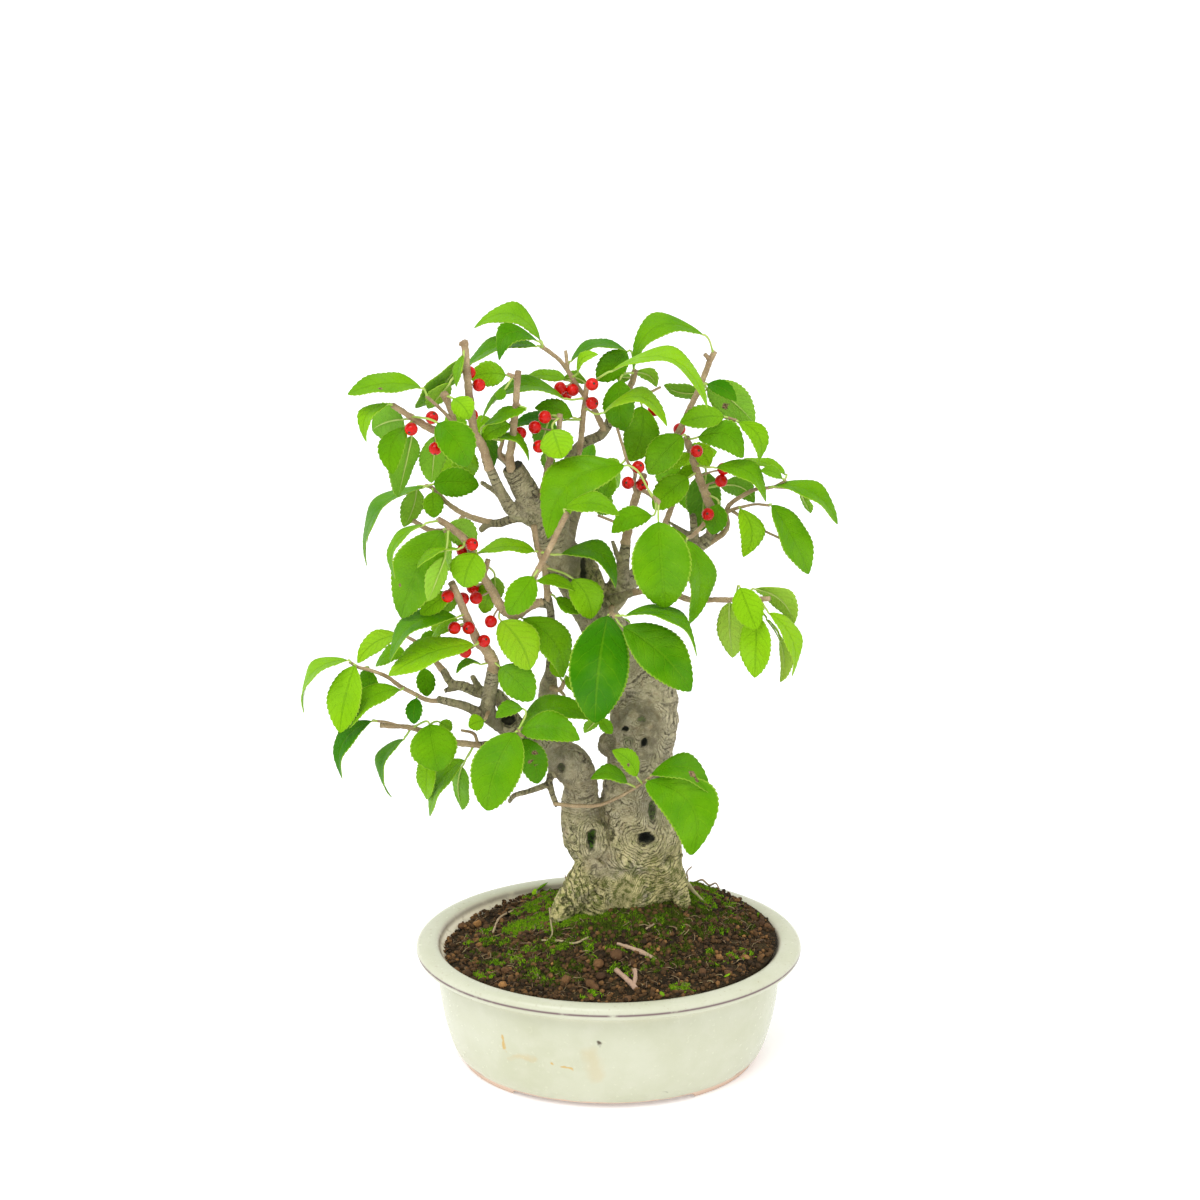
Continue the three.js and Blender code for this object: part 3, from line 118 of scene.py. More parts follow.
# Limbs of the trunk: rows of [x, z, ahead, radius]
TRUNK_LIMBS = [
  # main trunk, from the base to its cut top
  [[9, 80, 0, 16], [11, 94, 0, 15.2], [11.2, 105, 0, 14.2], [12, 118, -1, 12.5], [12.5, 130, -1, 12.8],
    [14, 139, -2, 13.3], [15.6, 150, -3, 9.9], [8, 163, -4, 9.2], [-1, 173, -3, 8.4],
    [-5.5, 181, -1, 7.8],
    [-9, 190, 1, 8.2], [-12, 197, 3, 8.4], [-18, 206, 5, 6.6], [-22, 214, 7, 6.2], [-26, 222, 9, 5.6],
    [-31, 230, 11, 4.7], [-36, 240, 13, 4.1]],
  # twin trunk on the left
  [[-5.5, 77, 3, 7.2], [-8.4, 86, 3, 9.1], [-10.2, 93, 4, 8.7], [-11, 101, 4, 7.4],
    [-11, 110, 5, 6.6], [-14, 118, 6, 7.2],
    [-22, 124, 8, 6], [-33, 128, 11, 4.8], [-40, 135, 14, 3.6], [-46, 139, 17, 3.1],
    [-45.6, 149, 18, 2.7],
    [-43.6, 157.5, 19.2, 2.9]],
  [[-31, 129, 11, 4], [-37.5, 136, 17, 3.9]],
  # old dark branch behind the left fork
  [[-36, 136, 14, 3], [-43, 147, 10, 2.8], [-50, 148.5, 6, 2.3], [-56, 151, 2, 2], [-60, 152, 0, 1.7],
    [-63.5, 158, -2, 1.5]],
  [[-56, 151, 1, 1.5], [-63, 149, -1, 1]],
  [[-48.5, 148, 7, 1.6], [-52.5, 155.5, 5, 1.1]],
  # lower left branches, cut short where the leafy shoots go on
  [[-44, 136, 16, 2.4], [-55, 142.5, 20, 1.8], [-60, 144, 21, 1.6], [-66, 145.6, 22, 1.5]],
  [[-33, 130, 12, 2.8], [-43, 126.8, 15, 1.8], [-51, 126.2, 18, 1.4]],
  # upright branch in front of the trunk, with its knob
  [[-17, 122, 7, 4], [-22, 136, 5, 3.4], [-23.3, 146, 4, 3.9], [-23, 151, 3, 3.7], [-22.3, 157, 5, 2.2],
    [-22, 165, 8, 1.7], [-22, 180, 11, 1.6], [-23, 188, 12.7, 1.5]],
  [[-22.3, 184.5, 12, 1.7], [-27, 185.3, 14, 1.8]],
  # spur low on the left trunk
  [[-20, 118, 9, 1.9], [-23, 112, 12, 1.4], [-22.5, 108, 13.5, 1.3], [-21.5, 104, 15, 1.2],
    [-20, 100, 16, 1.2]],
  [[-22.7, 109.8, 13, 1.3], [-31, 106.5, 17, 1.2], [-37, 104.5, 20, 1.1], [-39, 101.5, 21, 0.9]],
  # left limb and the level branch beside it
  [[-25, 218, 9, 4.2], [-32, 221, 12, 3.2], [-36, 222.5, 14, 2.7], [-40, 229, 17, 2.1],
    [-46, 243, 22, 1.8]],
  [[-36, 222.5, 13, 1.4], [-42, 229.5, 12, 1.1], [-48, 234, 11, 1]],
  [[-28, 220, 9, 2.3], [-35, 219.5, 7, 1.8], [-41, 217.5, 4, 1.7], [-45, 217.2, 2, 1.5],
    [-48.5, 214.5, 1, 1.2]],
  # grey branch that rises behind the large front leaf
  [[-18, 210, 3, 3], [-17, 222, 0, 2.4], [-16.5, 232, -3, 2.2], [-16, 240, -5, 2], [-13, 246, -6, 1.9],
    [-9, 249.5, -7, 1.9], [-3, 252.5, -8, 2], [1.5, 260, -9, 1.8]],
  # right limb and its forked stub
  [[-3, 180, -1, 5], [2, 190, -2, 4.2], [4.5, 197, -3, 3.2], [5.5, 203, -4, 2.4], [6.5, 211, -6, 1.9]],
  [[5, 200, -3, 1.4], [3, 205, -2, 1.2], [1.2, 210.5, -1, 0.8]],
  # far right limb with its gnarl
  [[1, 185, -2, 4.2], [7, 193, -5, 3.6], [15, 200, -10, 3.2], [25, 206.5, -14, 3], [33, 208.5, -15, 3],
    [38, 212, -15, 2.4], [38.5, 217, -14, 2]],
  [[33, 208.5, -14, 1.8], [32, 214, -12, 1.6], [31.3, 221, -11, 1.4]],
  [[31.5, 212, -13, 1.3], [26, 215.5, -14, 0.9], [22, 218.3, -14, 0.6]],
  # start of the low right branch
  [[0, 185, 3, 3.4], [6, 188.3, 8, 1.7], [9.5, 189.8, 10, 1.4]],
  # limbs that reach to the back
  [[-16, 208, 3, 3], [-14, 217, -10, 2.4], [-10, 228, -22, 1.8]],
  [[9, 194, -6, 2.8], [14, 203, -20, 2.1], [19, 212, -32, 1.6]],
  [[-32, 233, 9, 2.2], [-37, 241, -6, 1.8], [-44, 247, -18, 1.4]],
  [[12, 150, -6, 3], [12, 160, -20, 2.1], [10, 167, -32, 1.6]],
]

# Rings of the butt: [z, x of the middle, half width, half depth]
BUTT_RINGS = [[46, 3, 23, 15.5], [55, 3, 25, 16], [64, 4.5, 24.2, 15.2], [74, 7.6, 19.8, 14.6],
  [80, 7, 21, 14.4], [87, 5.4, 22.2, 14], [96, 4, 15, 10]]

# Surface roots, in rows like the limbs'
ROOTS = [
  [[-4, 78, 8, 7], [-8.5, 70, 9, 6.3], [-14.5, 61, 10, 5.4], [-20, 49, 10, 4]],
  [[21, 76, 5, 7], [26, 68, 7, 4.6], [29, 58, 8, 3.2], [30, 48, 8, 2.6]],
  [[2, 76, 7, 7], [2.5, 65, 9.5, 6], [2.5, 50, 11, 4.5]],
  [[8, 74, -7, 9], [10, 61, -12, 6], [12, 47, -15, 4]],
  [[-8, 70, -5, 6.5], [-16.5, 59, -9, 4.4], [-22, 48, -11, 3.5]],
]

# Swellings of the trunk: [x, z, ahead, radius]
BURLS = [[1, 127, 1, 5], [-18.5, 199, 4, 6], [-8, 86.5, 10, 8], [14.5, 86.5, 9.5, 8.5]]

# Marks on the trunk's front: [x, z, reach across, reach up], and the cut top as [x, z, ahead]
SMOOTH_LOBE = (-3, 76, 7, 7.5)
CRACK = (-4, 195, 7, 9)
CUT_TOP = (-36, 240, 13)

# Healed scars and rotted eyes:
# [x, z, half width, half height, ring height, depth of the eye, rot, how mossy the rot is]
SCARS = [
    [-6.7, 86, 2.0, 4.1, 0.9, 4, 1, 1], [14.5, 86.3, 3.3, 2.6, 1.1, 4, 1, 0],
    [13.6, 127, 1.3, 2.2, 0.7, 1.6, 1, 0], [7.7, 127.5, 1.9, 2.9, 0.3, -0.3, 0.45, 1],
    [12.4, 137.2, 1.8, 1.5, 0.9, 0.6, 0.7, 0.9], [6.6, 133.2, 1.2, 1, 0.4, 1.4, 1, 0],
    [-18.3, 116.5, 1.6, 2.1, 1.3, 1.6, 0.75, 0.6], [-38.5, 137, 2.4, 2.4, 0.5, 2.2, 0.9, 0],
    [-9.5, 199, 1.2, 4.5, 0.5, 1.4, 0.9, 0], [0.6, 127, 2.2, 2.8, 0.5, 0.8, 0.3, 0.5],
    [17, 98, 1.7, 4, 0.5, 1.6, 0.8, 1],
]

# Leafy shoots.
# wood: twigs in rows like the limbs'.
# leaves: [x and z of the base, x and z of the tip, seen width, how far the base comes ahead of the twig
# and the tip ahead of the base, bow, 1 where the upper side shows and -1 where the underside does]
# berries: [x, z, how far ahead of the twig]
SHOOTS = {
  "upper_left": {
    "wood": [
      [[-44.5, 239, 21, 1.8], [-48, 250, 24, 1.6], [-52, 254, 26, 1.6], [-58, 254.5, 29, 1.6],
        [-64, 254, 32, 1.5], [-72, 258.5, 35, 1.2], [-80, 264, 38, 1]],
      [[-50, 253, 25, 1.5], [-51, 262, 26, 1.5], [-52, 272, 28, 1.4], [-53, 288.5, 31, 1.35]],
      [[-52.7, 286.8, 31, 1], [-55, 287.7, 31, 0.8]],
      [[-57, 254.5, 29, 1.1], [-58.5, 262, 31, 1.2], [-61, 268.5, 33, 1.5]],
      [[-57, 256, 29, 0.7], [-60, 260, 32, 0.7], [-67.5, 267.5, 38, 0.6]],
    ],
    "leaves": [
      [-69.5, 271, -96.5, 268, 7, 2, 3, -2.5, 1],
      [-82, 264.5, -90, 249.5, 5, 2, 4, -4.5, 1], [-76, 258.5, -88, 254, 14, -4, -9, -1, -1],
      [-75.5, 255.5, -80.7, 236.7, 9, 3, 4, -3, 1], [-73.5, 252, -79, 228, 9.5, -1, -5, 0, -1],
      [-64.5, 252, -66.3, 233.5, 9.5, -5, -4, 0, -1], [-63.5, 257, -52.5, 240, 13, 8, 4, 2, 1],
      [-57.5, 266.5, -51.5, 258.5, 8, 4, 3, 1, 1], [-55, 281.5, -71, 262, 6.5, -4, -6, 1, -1],
      [-53.8, 283, -56.5, 271, 3, 2, 2, -0.5, 1], [-59, 272.5, -67, 262.5, 6, -3, -6, 0, -1],
    ],
    "berries": [[-73.3, 254.6, 6], [-65.5, 259.1, 3], [-64.5, 247, 6], [-51.5, 276.5, -3], [-48, 271.7, -2],
      [-50.8, 260, -3]],
  },
  "left_middle": {
    "wood": [
      [[-43, 217.3, 3, 1.4], [-49, 219, 0, 1.1], [-55, 221.5, -3, 1], [-61, 226, -6, 0.9],
        [-66, 231.5, -9, 0.8], [-68.5, 232.5, -10, 0.7]],
      [[-54, 221, -2, 0.9], [-59, 215.5, -7, 0.95], [-66, 214.3, -9, 1.1], [-73.5, 218.5, -11, 0.95]],
    ],
    "leaves": [
      [-72, 231.5, -77, 216, 8, -1, -3, 1, -1], [-69.5, 232, -91, 200, 4, 2, 6, -9, 1],
      [-65.5, 233, -48.5, 232.5, 11, 3, 4, 1, 1], [-65.8, 230, -65.5, 219.5, 7.5, 3, 3, 0, 1],
      [-67, 211, -75, 196, 10, -3, -10, 0, 1], [-60, 213, -64, 199, 9, -4, -16, 0, 1],
    ],
    "berries": [],
  },
  "left_inner": {
    "wood": [
      [[-36, 237, 14, 1.8], [-37, 243, 17, 1.6], [-36, 250, 19, 1.4], [-34.5, 264, 21, 1.2],
        [-33.5, 277, 22, 1.15]],
      [[-33.8, 274.5, 22, 0.8], [-37.5, 276.2, 22, 0.5]],
      [[-37, 241, 16, 1], [-40.5, 245, 15, 0.9], [-39.5, 250, 15, 0.7], [-38.5, 256, 14, 0.6],
        [-39, 260, 14, 0.6]],
    ],
    "leaves": [
      [-38, 275.5, -51, 274.5, 9, -3, -3, -1, 1], [-38.5, 270, -41.5, 266, 3.5, 2, 1, 0, 1],
      [-31, 262.5, -46, 255.5, 4.5, 2, 1, -1, 1], [-43, 251.5, -29.7, 242.3, 3.5, 6, 4, 4, 1],
      [-47, 253, -43, 240, 6, -3, -3, 1, 1],
      [-36.5, 256.5, -47, 250.5, 6, 1, 1, -1, 1],
    ],
    "berries": [[-33, 253, -4]],
  },
  "top_left": {
    "wood": [
      [[-1.5, 253.5, -8, 1.3], [-4.5, 260, -4.5, 1.1], [-7, 265, -3, 0.9], [-9.5, 268, -2, 0.9],
        [-12.5, 272.5, 0, 0.9], [-15, 277, 2, 0.9], [-18, 281, 4, 0.8], [-22, 284.5, 6, 0.8],
        [-25, 286.5, 8, 0.8]],
      [[-15, 276.5, 2, 0.7], [-15.5, 280, 2, 0.7], [-16, 285, 1, 0.6]],
    ],
    "leaves": [
      [-27, 287, -57, 271, 5, 1, 2, -6.3, 1], [-25.3, 289.5, -49.5, 293, 7, -2, -4, -7.5, 1],
      [-26.5, 289, -40.6, 281, 8, 5, 9, -7, 1],
      [-16, 274, -34.5, 272.7, 4, -4, -4, -2, 1],
      [-14, 281.5, 6.5, 285, 3.5, -3, -4, 4, 1], [-12, 276.5, -4, 283.5, 3.5, 3, 3, 2.5, 1],
      [-8, 272.5, -17, 274, 4, -4, -5, -1.5, -1],
    ],
    "berries": [[-18, 270.5, 1], [-15.8, 268.3, -4], [-13.5, 269.8, 1.5]],
  },
  "top_middle": {
    "wood": [[[-11.5, 245, -6, 1.3], [-10.5, 250, -4, 1.2], [-10, 256, -1, 1.1], [-9, 265, 3, 1],
      [-8.2, 272, 5, 1]]],
    "leaves": [
      [-17, 267, -47.5, 257, 5.5, 4, 2, -9, 1], [-13.5, 259.5, -27.5, 263, 6.5, 3, 3, -1.5, 1],
      [-17, 258.5, -36, 256, 5, 0, -2, -1.5, 1], [-2, 261.5, 21.5, 255.5, 6, 8, 7, 8.3, 1],
      [1, 277.5, 36.5, 263, 6.5, 6, 10, 11.5, 1],
    ],
    "berries": [[-6.3, 272, 6], [-6.3, 264.7, 3]],
  },
  "inner_twig": {
    "wood": [[[-25.5, 225, 12, 1.8], [-24, 232, 13, 1.6], [-22.5, 240, 14, 1.4], [-21, 246, 15, 1.2],
      [-19, 252, 14, 1], [-18, 260.5, 13, 1]]],
    "leaves": [
      [-21, 254.5, -17.5, 243, 12, 5, 4, 0, 1], [-23, 246, -22.5, 236, 5, -5, -4, 0, -1],
      [-22, 259, -26, 246, 9, -4, -4, 0, -1],
    ],
    "berries": [[-23.8, 259.3, 3], [-27.5, 255.3, 3], [-26, 247.8, 4]],
  },
  "grey_stub": {
    "wood": [
      [[0.5, 258, -9, 1.7], [5, 266, -10, 1.3], [8.5, 273, -11, 1.2], [9.5, 277.5, -11, 1.1]],
      [[4, 264, -10, 0.8], [10, 266, -12, 0.6], [14.5, 268.5, -13, 0.6], [19, 271, -14, 0.5]],
    ],
    "leaves": [
      [6.5, 284.5, -4.5, 273.5, 10, 3, 3, 0, 1], [4, 273.5, 5, 253.5, 11.5, 8, 0, -1, 1],
      [12, 263.5, 8, 242, 13, 4, 0, 2, 1], [9.5, 277, 17.5, 271, 5, -4, -5, 2, -1],
      [8, 274.5, 2, 277, 4, -3, -4, 1, -1],
    ],
    "berries": [[16.5, 262, 2]],
  },
  "centre": {
    "wood": [
      [[6, 209, -5, 1.9], [8.5, 222, -7, 1.7], [11, 231, -7, 1.5], [13, 237, -7, 1.4]],
      [[10.5, 228, -7, 1], [9.3, 233, -2, 0.8], [9.5, 238, 4, 0.7], [7, 241.5, 6, 0.6],
        [5, 248, 3, 0.6],
        [3, 255, 0, 0.6]],
      [[11.5, 231, -6, 0.9], [15, 229, 10, 0.8], [18.7, 226, 26, 0.7]],
      [[7, 216, -5, 0.7], [2, 218, 0, 0.6], [-4, 220.5, 5, 0.55]],
    ],
    "leaves": [
      [5.5, 240.5, -23.3, 211.5, 17, 12, 12, -9, 1], [1.5, 236.5, -3, 226.5, 6, 4, 2, 0, 1],
      [16, 220.5, 0.8, 213.5, 8, -2, 5, -2.5, 1], [18.5, 218, 21.2, 183, 21.5, 3, 8, 0, 1],
    ],
    "berries": [[7, 233.5, 8], [12.3, 232.8, 6], [10.8, 239.7, 3]],
  },
  "top_right": {
    "wood": [
      [[14.6, 240.3, -8.4, 1.2], [20, 245, -12, 1.3], [27, 256, -14, 1.2], [29, 261, -14, 1.15],
        [33, 270, -15, 1.15], [37, 281, -16, 1.1], [38.7, 284.5, -16, 1.1]],
      [[37, 281.5, -16, 1], [35, 283.5, -15, 0.8]],
      [[29, 261, -14, 0.8], [36, 260.5, -8, 0.6], [42.5, 259.3, -4, 0.6], [47, 258, -2, 0.6]],
    ],
    "leaves": [
      [34, 291.5, 8.5, 278.5, 9, 3, 8, -9.5, 1], [36.5, 272, 53.5, 257, 13, -3, -4, 1, -1],
      [35, 269.5, 20, 271.5, 5, -5, -4, 1.5, -1],
      [36, 272, 47, 265.5, 6, 3, 2, 1.5, 1], [42.5, 259.5, 26, 257, 8.5, 2, 5, -1, 1],
      [48, 257.5, 56, 242, 7, 1, 3, 4, 1],
    ],
    "berries": [[26, 254.5, -3]],
  },
  "right_upper": {
    "wood": [
      [[38.5, 214, -14, 2], [38.5, 222, -13, 1.8], [37, 226, -12, 1.7], [34.5, 233, -10, 1.5],
        [31, 243, -8, 1.35], [28.5, 251.5, -6, 1.25]],
      [[38, 220, -12, 0.9], [32, 213, 6, 0.8], [29.5, 211.5, 20, 0.7]],
    ],
    "leaves": [
      [27, 252, 14.5, 237, 12, 5, 6, -1, 1], [29.5, 235.5, 16.5, 223, 10.5, 5, 6, -1, 1],
      [30, 245, 22, 239.5, 5, 2, 1, 0, 1], [33, 239.5, 25, 236, 4.5, -2, -2, 0, 1],
      [31, 248.5, 37.5, 240, 7, -2, 0, 1, 1], [33, 251.5, 50, 243.5, 11, 5, 3, 5, 1],
      [40, 239.8, 58.5, 225.8, 7.5, 8, 5, 5.5, 1], [41.5, 232.5, 54.5, 225.5, 8, -3, -4, 3, -1],
      [36, 238, 34.5, 214.5, 13, -6, -5, 0, -1], [41, 225, 38.8, 212.8, 8.5, 5, 3, 0, 1],
      [29.5, 210.5, 30.5, 176.5, 10, 3, 6, 4.5, 1],
    ],
    "berries": [[32.5, 246, 6], [42.5, 239, 1], [41.8, 234.3, 3], [37, 221, 9]],
  },
  "right_middle": {
    "wood": [
      [[36, 208.5, -15, 1.4], [44, 215, -12, 1], [44.2, 223.5, -11, 0.9], [50, 228.5, -8, 0.8],
        [55, 231, -6, 0.7], [61, 231.8, -4, 0.6], [66, 234.5, -3, 0.5]],
      [[43.6, 221.5, -11, 0.8], [46.5, 223, -8, 0.7], [50, 224, -5, 0.6], [55, 225, -2, 0.5],
        [60, 224.5, 0, 0.5]],
      [[46, 222.5, -9, 0.7], [52, 218, -13, 0.5], [57, 215, -13, 0.5], [64, 211.5, -13, 0.5]],
      [[61, 231.8, -4, 0.5], [67, 231.3, -7, 0.5], [71, 230.3, -9, 0.5]],
    ],
    "leaves": [
      [49, 223.3, 50.5, 203.8, 9, 3, 3, 4, 1], [61, 224.8, 75.8, 197, 10.5, 1, 6, 1, 1],
      [62, 232.3, 85.7, 217, 6, 2, 4, 5.3, 1], [65.5, 237.5, 50, 243, 3.5, -4, -6, -1, 1],
      [64.5, 235.5, 56.5, 238.5, 4, 1, 2, -1, 1],
      [72, 229.5, 75.5, 221.5, 3, -1, -3, 0, -1],
    ],
    "berries": [],
  },
  "right_low": {
    "wood": [[[8, 189.2, 9, 1.3], [14.5, 190.3, 12, 1.3], [17.5, 188.8, 13, 1.3], [25, 188.5, 15, 1.2],
      [31, 186.5, 17, 1.1], [40, 186.5, 19, 1], [48, 186.5, 21, 1], [61, 187, 24, 0.95]]],
    "leaves": [
      [46, 185.5, 47.3, 163, 10, -4, -3, -0.5, -1], [49.5, 191.5, 56, 174.5, 11, 4, 3, 0, 1],
      [56, 181, 55.8, 154.5, 11.5, 1, 1, 0, 1], [55.5, 191.3, 70.3, 176.5, 8, -3, -4, 3.5, -1],
      [61, 181.3, 70.3, 155, 6, 2, 2, 4.4, 1], [60.5, 178.5, 66, 152.8, 3, -3, -3, 3.5, -1],
    ],
    "berries": [],
  },
  "front": {
    "wood": [[[1, 184, 4, 1.1], [1, 181.5, 18, 0.9], [2, 180, 34, 0.8]]],
    "leaves": [
      [-0.5, 180, -5.3, 135.5, 22, 4, 8, -1, 1], [5.5, 175.5, 31.5, 148.8, 17, 0, 3, 2.5, 1],
      [6.5, 180.5, 34, 164.3, 5.5, 3, 6, 7.5, 1],
    ],
    "berries": [],
  },
  "mid_stem": {
    "wood": [[[-23, 185.5, 12.4, 1.4], [-24.5, 200, 15, 1.2], [-27, 208, 17, 1.1], [-28.2, 216.5, 18, 1.1]]],
    "leaves": [
      [-28, 206.5, -50, 204.5, 5.5, 2, 4, -2.5, 1], [-18, 205.3, 2.8, 191.5, 7.5, 5, 4, 7.5, 1],
      [-27, 194.5, -13, 190.5, 4.5, 4, 4, 1.5, 1], [-13.5, 195, -6.5, 178.8, 12, 3, 3, 2, 1],
      [-20, 187.5, -9, 181.5, 5, 2, 1, -1, 1],
    ],
    "berries": [],
  },
  "mid_left": {
    "wood": [
      [[-25, 185.8, 13.5, 1.6], [-30, 184, 15, 1.8], [-36, 181, 17, 2.7], [-41, 184, 19, 1.9],
        [-44, 190, 21, 1.7], [-48, 197, 23, 1.6], [-51, 205, 26, 1.6], [-54, 210.5, 28, 1.4],
        [-59, 215.5, 31, 1.3], [-64, 219, 33, 1.2]],
      [[-47.5, 196, 23, 1.2], [-45.5, 203, 22, 1]],
      [[-35, 181.5, 17, 1.6], [-31.5, 187, 26, 1.3], [-29, 194, 29, 1.2], [-22.5, 207, 32, 1.15],
        [-15.8, 221.5, 36, 1.1]],
    ],
    "leaves": [
      [-16.5, 223.5, 4, 221, 7, 1, 3, 3, 1], [-50, 205.5, -54.8, 191.5, 13, 4, 4, -1, 1],
      [-28.5, 196, -38.3, 180.5, 10.5, 3, 4, 0, 1],
      [-41, 178, -30, 157.8, 14.5, 4, 6, 2, 1], [-32.5, 179, -17, 154.5, 12.5, 0, 2, 4.5, 1],
      [-60.5, 217, -50, 208.5, 10, -6, -4, 1, -1],
      [-62.5, 214.5, -79, 178.8, 18, -3, 0, -2, 1], [-70, 217, -81, 195, 3.2, 6, 6, -5.5, 1],
      [-57, 207.5, -72.5, 200, 2.2, 9, 7, -2, 1], [-62, 204, -68.5, 186, 7, 12, 8, 0, -1],
      [-45, 191.5, -52.5, 187, 4.5, -2, -4, -1, 1], [-45.5, 190, -47.5, 181, 6, -2, -1, 0, 1],
      [-43, 196, -42.5, 186, 6, -6, -4, 0, -1],
    ],
    "berries": [[-55, 206.3, -3], [-51.5, 209, 2], [-44.8, 177.7, 3], [-51.5, 191.5, -4], [-50.3, 187.3, 4]],
  },
  "left_fork": {
    "wood": [[[-44.3, 154.5, 18.8, 2.5], [-44, 160, 19.6, 2.4], [-46, 165, 21, 2.1], [-50, 170, 23, 1.9],
      [-53, 177, 25, 1.6], [-56, 185, 27, 1.5], [-59.5, 193.5, 29, 1.4]]],
    "leaves": [
      [-61, 189.5, -71.5, 180.5, 7, 0, 1, 0, 1], [-58, 179.8, -84, 161, 7.5, 4, 6, -6.5, 1],
      [-51.5, 168.3, -84, 154.5, 9.5, 8, 8, -3, 1], [-57.5, 178.5, -67.5, 174.5, 6, -6, -6, 0, 1],
      [-57.5, 176.3, -68.5, 169, 3.2, -2, -4, -1.5, 1], [-58.5, 188.5, -64, 181.5, 6, -3, -3, 0, -1],
      [-41.5, 159, -29, 145, 12.5, 4, 5, 1, 1],
      [-49, 160.5, -58.3, 156, 2.2, 2, 2, -2.5, 1],
    ],
    "berries": [[-61, 188, 4], [-55.3, 187, -2], [-58.7, 175, 5], [-53.3, 175, 3], [-54.7, 165.3, 2],
      [-47.5, 169.7, 3]],
  },
  "old_left": {
    "wood": [
      [[-62, 155.5, -1.5, 1.5], [-66, 161, -3, 1.1], [-70, 165.5, -2, 0.8], [-73, 169, -1, 0.7],
        [-78, 172, 0, 0.6]],
      [[-66, 161, -3, 0.8], [-71, 164, -5, 0.7], [-77, 164.5, -6, 0.6]],
    ],
    "leaves": [
      [-79, 172, -96, 160.5, 7, 1, 3, -3, 1], [-77.5, 165, -89, 159, 6, -3, -6, -2, 1],
      [-70.5, 158.5, -69.5, 146.5, 7, 2, 2, 0, 1], [-72, 168, -64, 172, 7, -6, -8, 0, 1],
    ],
    "berries": [],
  },
  "low_left_tip": {
    "wood": [[[-63.5, 144.8, 21.5, 1], [-69, 145, 22.5, 0.95], [-75, 148, 24, 0.9], [-80, 151, 26, 0.85],
      [-85, 155, 28, 0.8], [-91, 157.5, 29, 0.7], [-96, 159, 30, 0.7], [-99, 161, 31, 0.6]]],
    "leaves": [
      [-100, 162, -117, 139.5, 4, 2, 3, -7, 1], [-97, 159.5, -103.5, 131.5, 12, 2, 4, -1, 1],
      [-92, 158.5, -94, 143.5, 8, -3, -4, 1, 1], [-80, 149.7, -100.5, 134, 8, 5, 6, -4, 1],
      [-73.7, 146, -75, 135, 6, 2, 3, -0.5, 1],
    ],
    "berries": [],
  },
  "low_left": {
    "wood": [
      [[-48, 126.2, 17, 1.2], [-60, 127.5, 21, 1.2], [-76, 133.5, 25, 1], [-88, 134.5, 28, 0.95]],
      [[-80, 133.9, 26, 0.6], [-85, 135.8, 27, 0.5], [-91, 136.5, 28, 0.5]],
      [[-50.5, 126.8, 18, 0.7], [-52, 131, 18, 0.7], [-57, 132.5, 18, 0.5]],
    ],
    "leaves": [
      [-91.5, 136.5, -104, 112, 6.5, 2, 4, -5.3, 1], [-79.5, 128.8, -84.5, 103.8, 3.5, 2, 2, -6, 1],
      [-69, 135, -66, 115, 17.5, 4, 5, 0, 1],
      [-65, 135.8, -60.3, 132.5, 5, -3, -3, 0, 1], [-70, 121, -71.3, 102.8, 7.5, -2, -2, 0, 1],
      [-56, 120, -69.5, 95.5, 6.5, 1, 0, -3.5, 1], [-56.5, 117, -56.5, 98.8, 7, -8, -6, -1.5, -1],
    ],
    "berries": [],
  },
  "low_front": {
    "wood": [[[-33, 129, 13, 1.3], [-34.5, 131, 24, 1], [-35, 131.8, 32, 0.8]]],
    "leaves": [
      [-36, 131.5, -47.5, 98.3, 18.5, 3, 8, -2, 1], [-33, 129, -27.3, 109.5, 10.5, 5, 1, 1, 1],
      [-34, 132, -11, 128.3, 11, 3, 5, 3.5, 1], [-34.5, 134, -5.5, 136, 8.5, -4, -5, 6.5, 1],
      [-33, 141.5, -43.5, 137.7, 5.5, -3, -2, -2, 1],
    ],
    "berries": [],
  },
  "left_sprout": {
    "wood": [[[-46, 141, 17, 0.9], [-46.5, 139.5, 21, 0.8], [-47.5, 137, 23, 0.7]]],
    "leaves": [[-48, 136.5, -54, 134, 6, 1, 1, -0.5, 1]],
    "berries": [],
  },
  "knob": {
    "wood": [[[-22, 150.5, 6, 1.2], [-18.8, 149.5, 9, 1], [-17, 153, 11, 0.8]],
      [[-19, 149.5, 9, 0.8], [-17, 147, 12, 0.6]]],
    "leaves": [[-16.3, 145.5, -11, 139.5, 2.5, 0, 2, 0.5, 1], [-18.5, 154.5, -21, 163, 5.5, 0, -2, 0, 1],
      [-16, 155, -14, 149, 3, 1, 2, 0, 1]],
    "berries": [],
  },
  "trunk_sprout": {
    "wood": [[[1, 132, 9, 0.8], [-2, 135, 13, 0.7], [-3.5, 138, 15, 0.6]]],
    "leaves": [[-3.5, 137.5, 1.3, 131, 4.5, 1, 2, 0, 1], [-4.5, 137.5, -9.5, 131.5, 4, 0, -3, 0, -1]],
    "berries": [],
  },
  "low_right": {
    "wood": [[[-21.5, 101.2, 16.5, 0.8], [-12, 100.2, 17.5, 0.75], [-4, 100.5, 18.5, 0.7],
      [2, 103, 19.5, 0.65], [8, 106.5, 21, 0.6], [13, 110, 23, 0.6], [17, 113.5, 26, 0.55]]],
    "leaves": [
      [7.3, 110.3, -7, 112, 6, 2, 3, -3, 1], [11, 113, 1.2, 124, 7, 2, 1, -2, 1],
      [16.5, 113.8, 39.3, 105.5, 9.5, 1, 1, 6.5, 1], [15, 111, 33, 79, 21, 2, 7, 9.5, 1],
    ],
    "berries": [],
  },
  "back_centre": {
    "wood": [[[-10.8, 226, -20, 1.7], [-8, 234, -30, 1.3], [-5, 240, -40, 0.9]]],
    "leaves": [
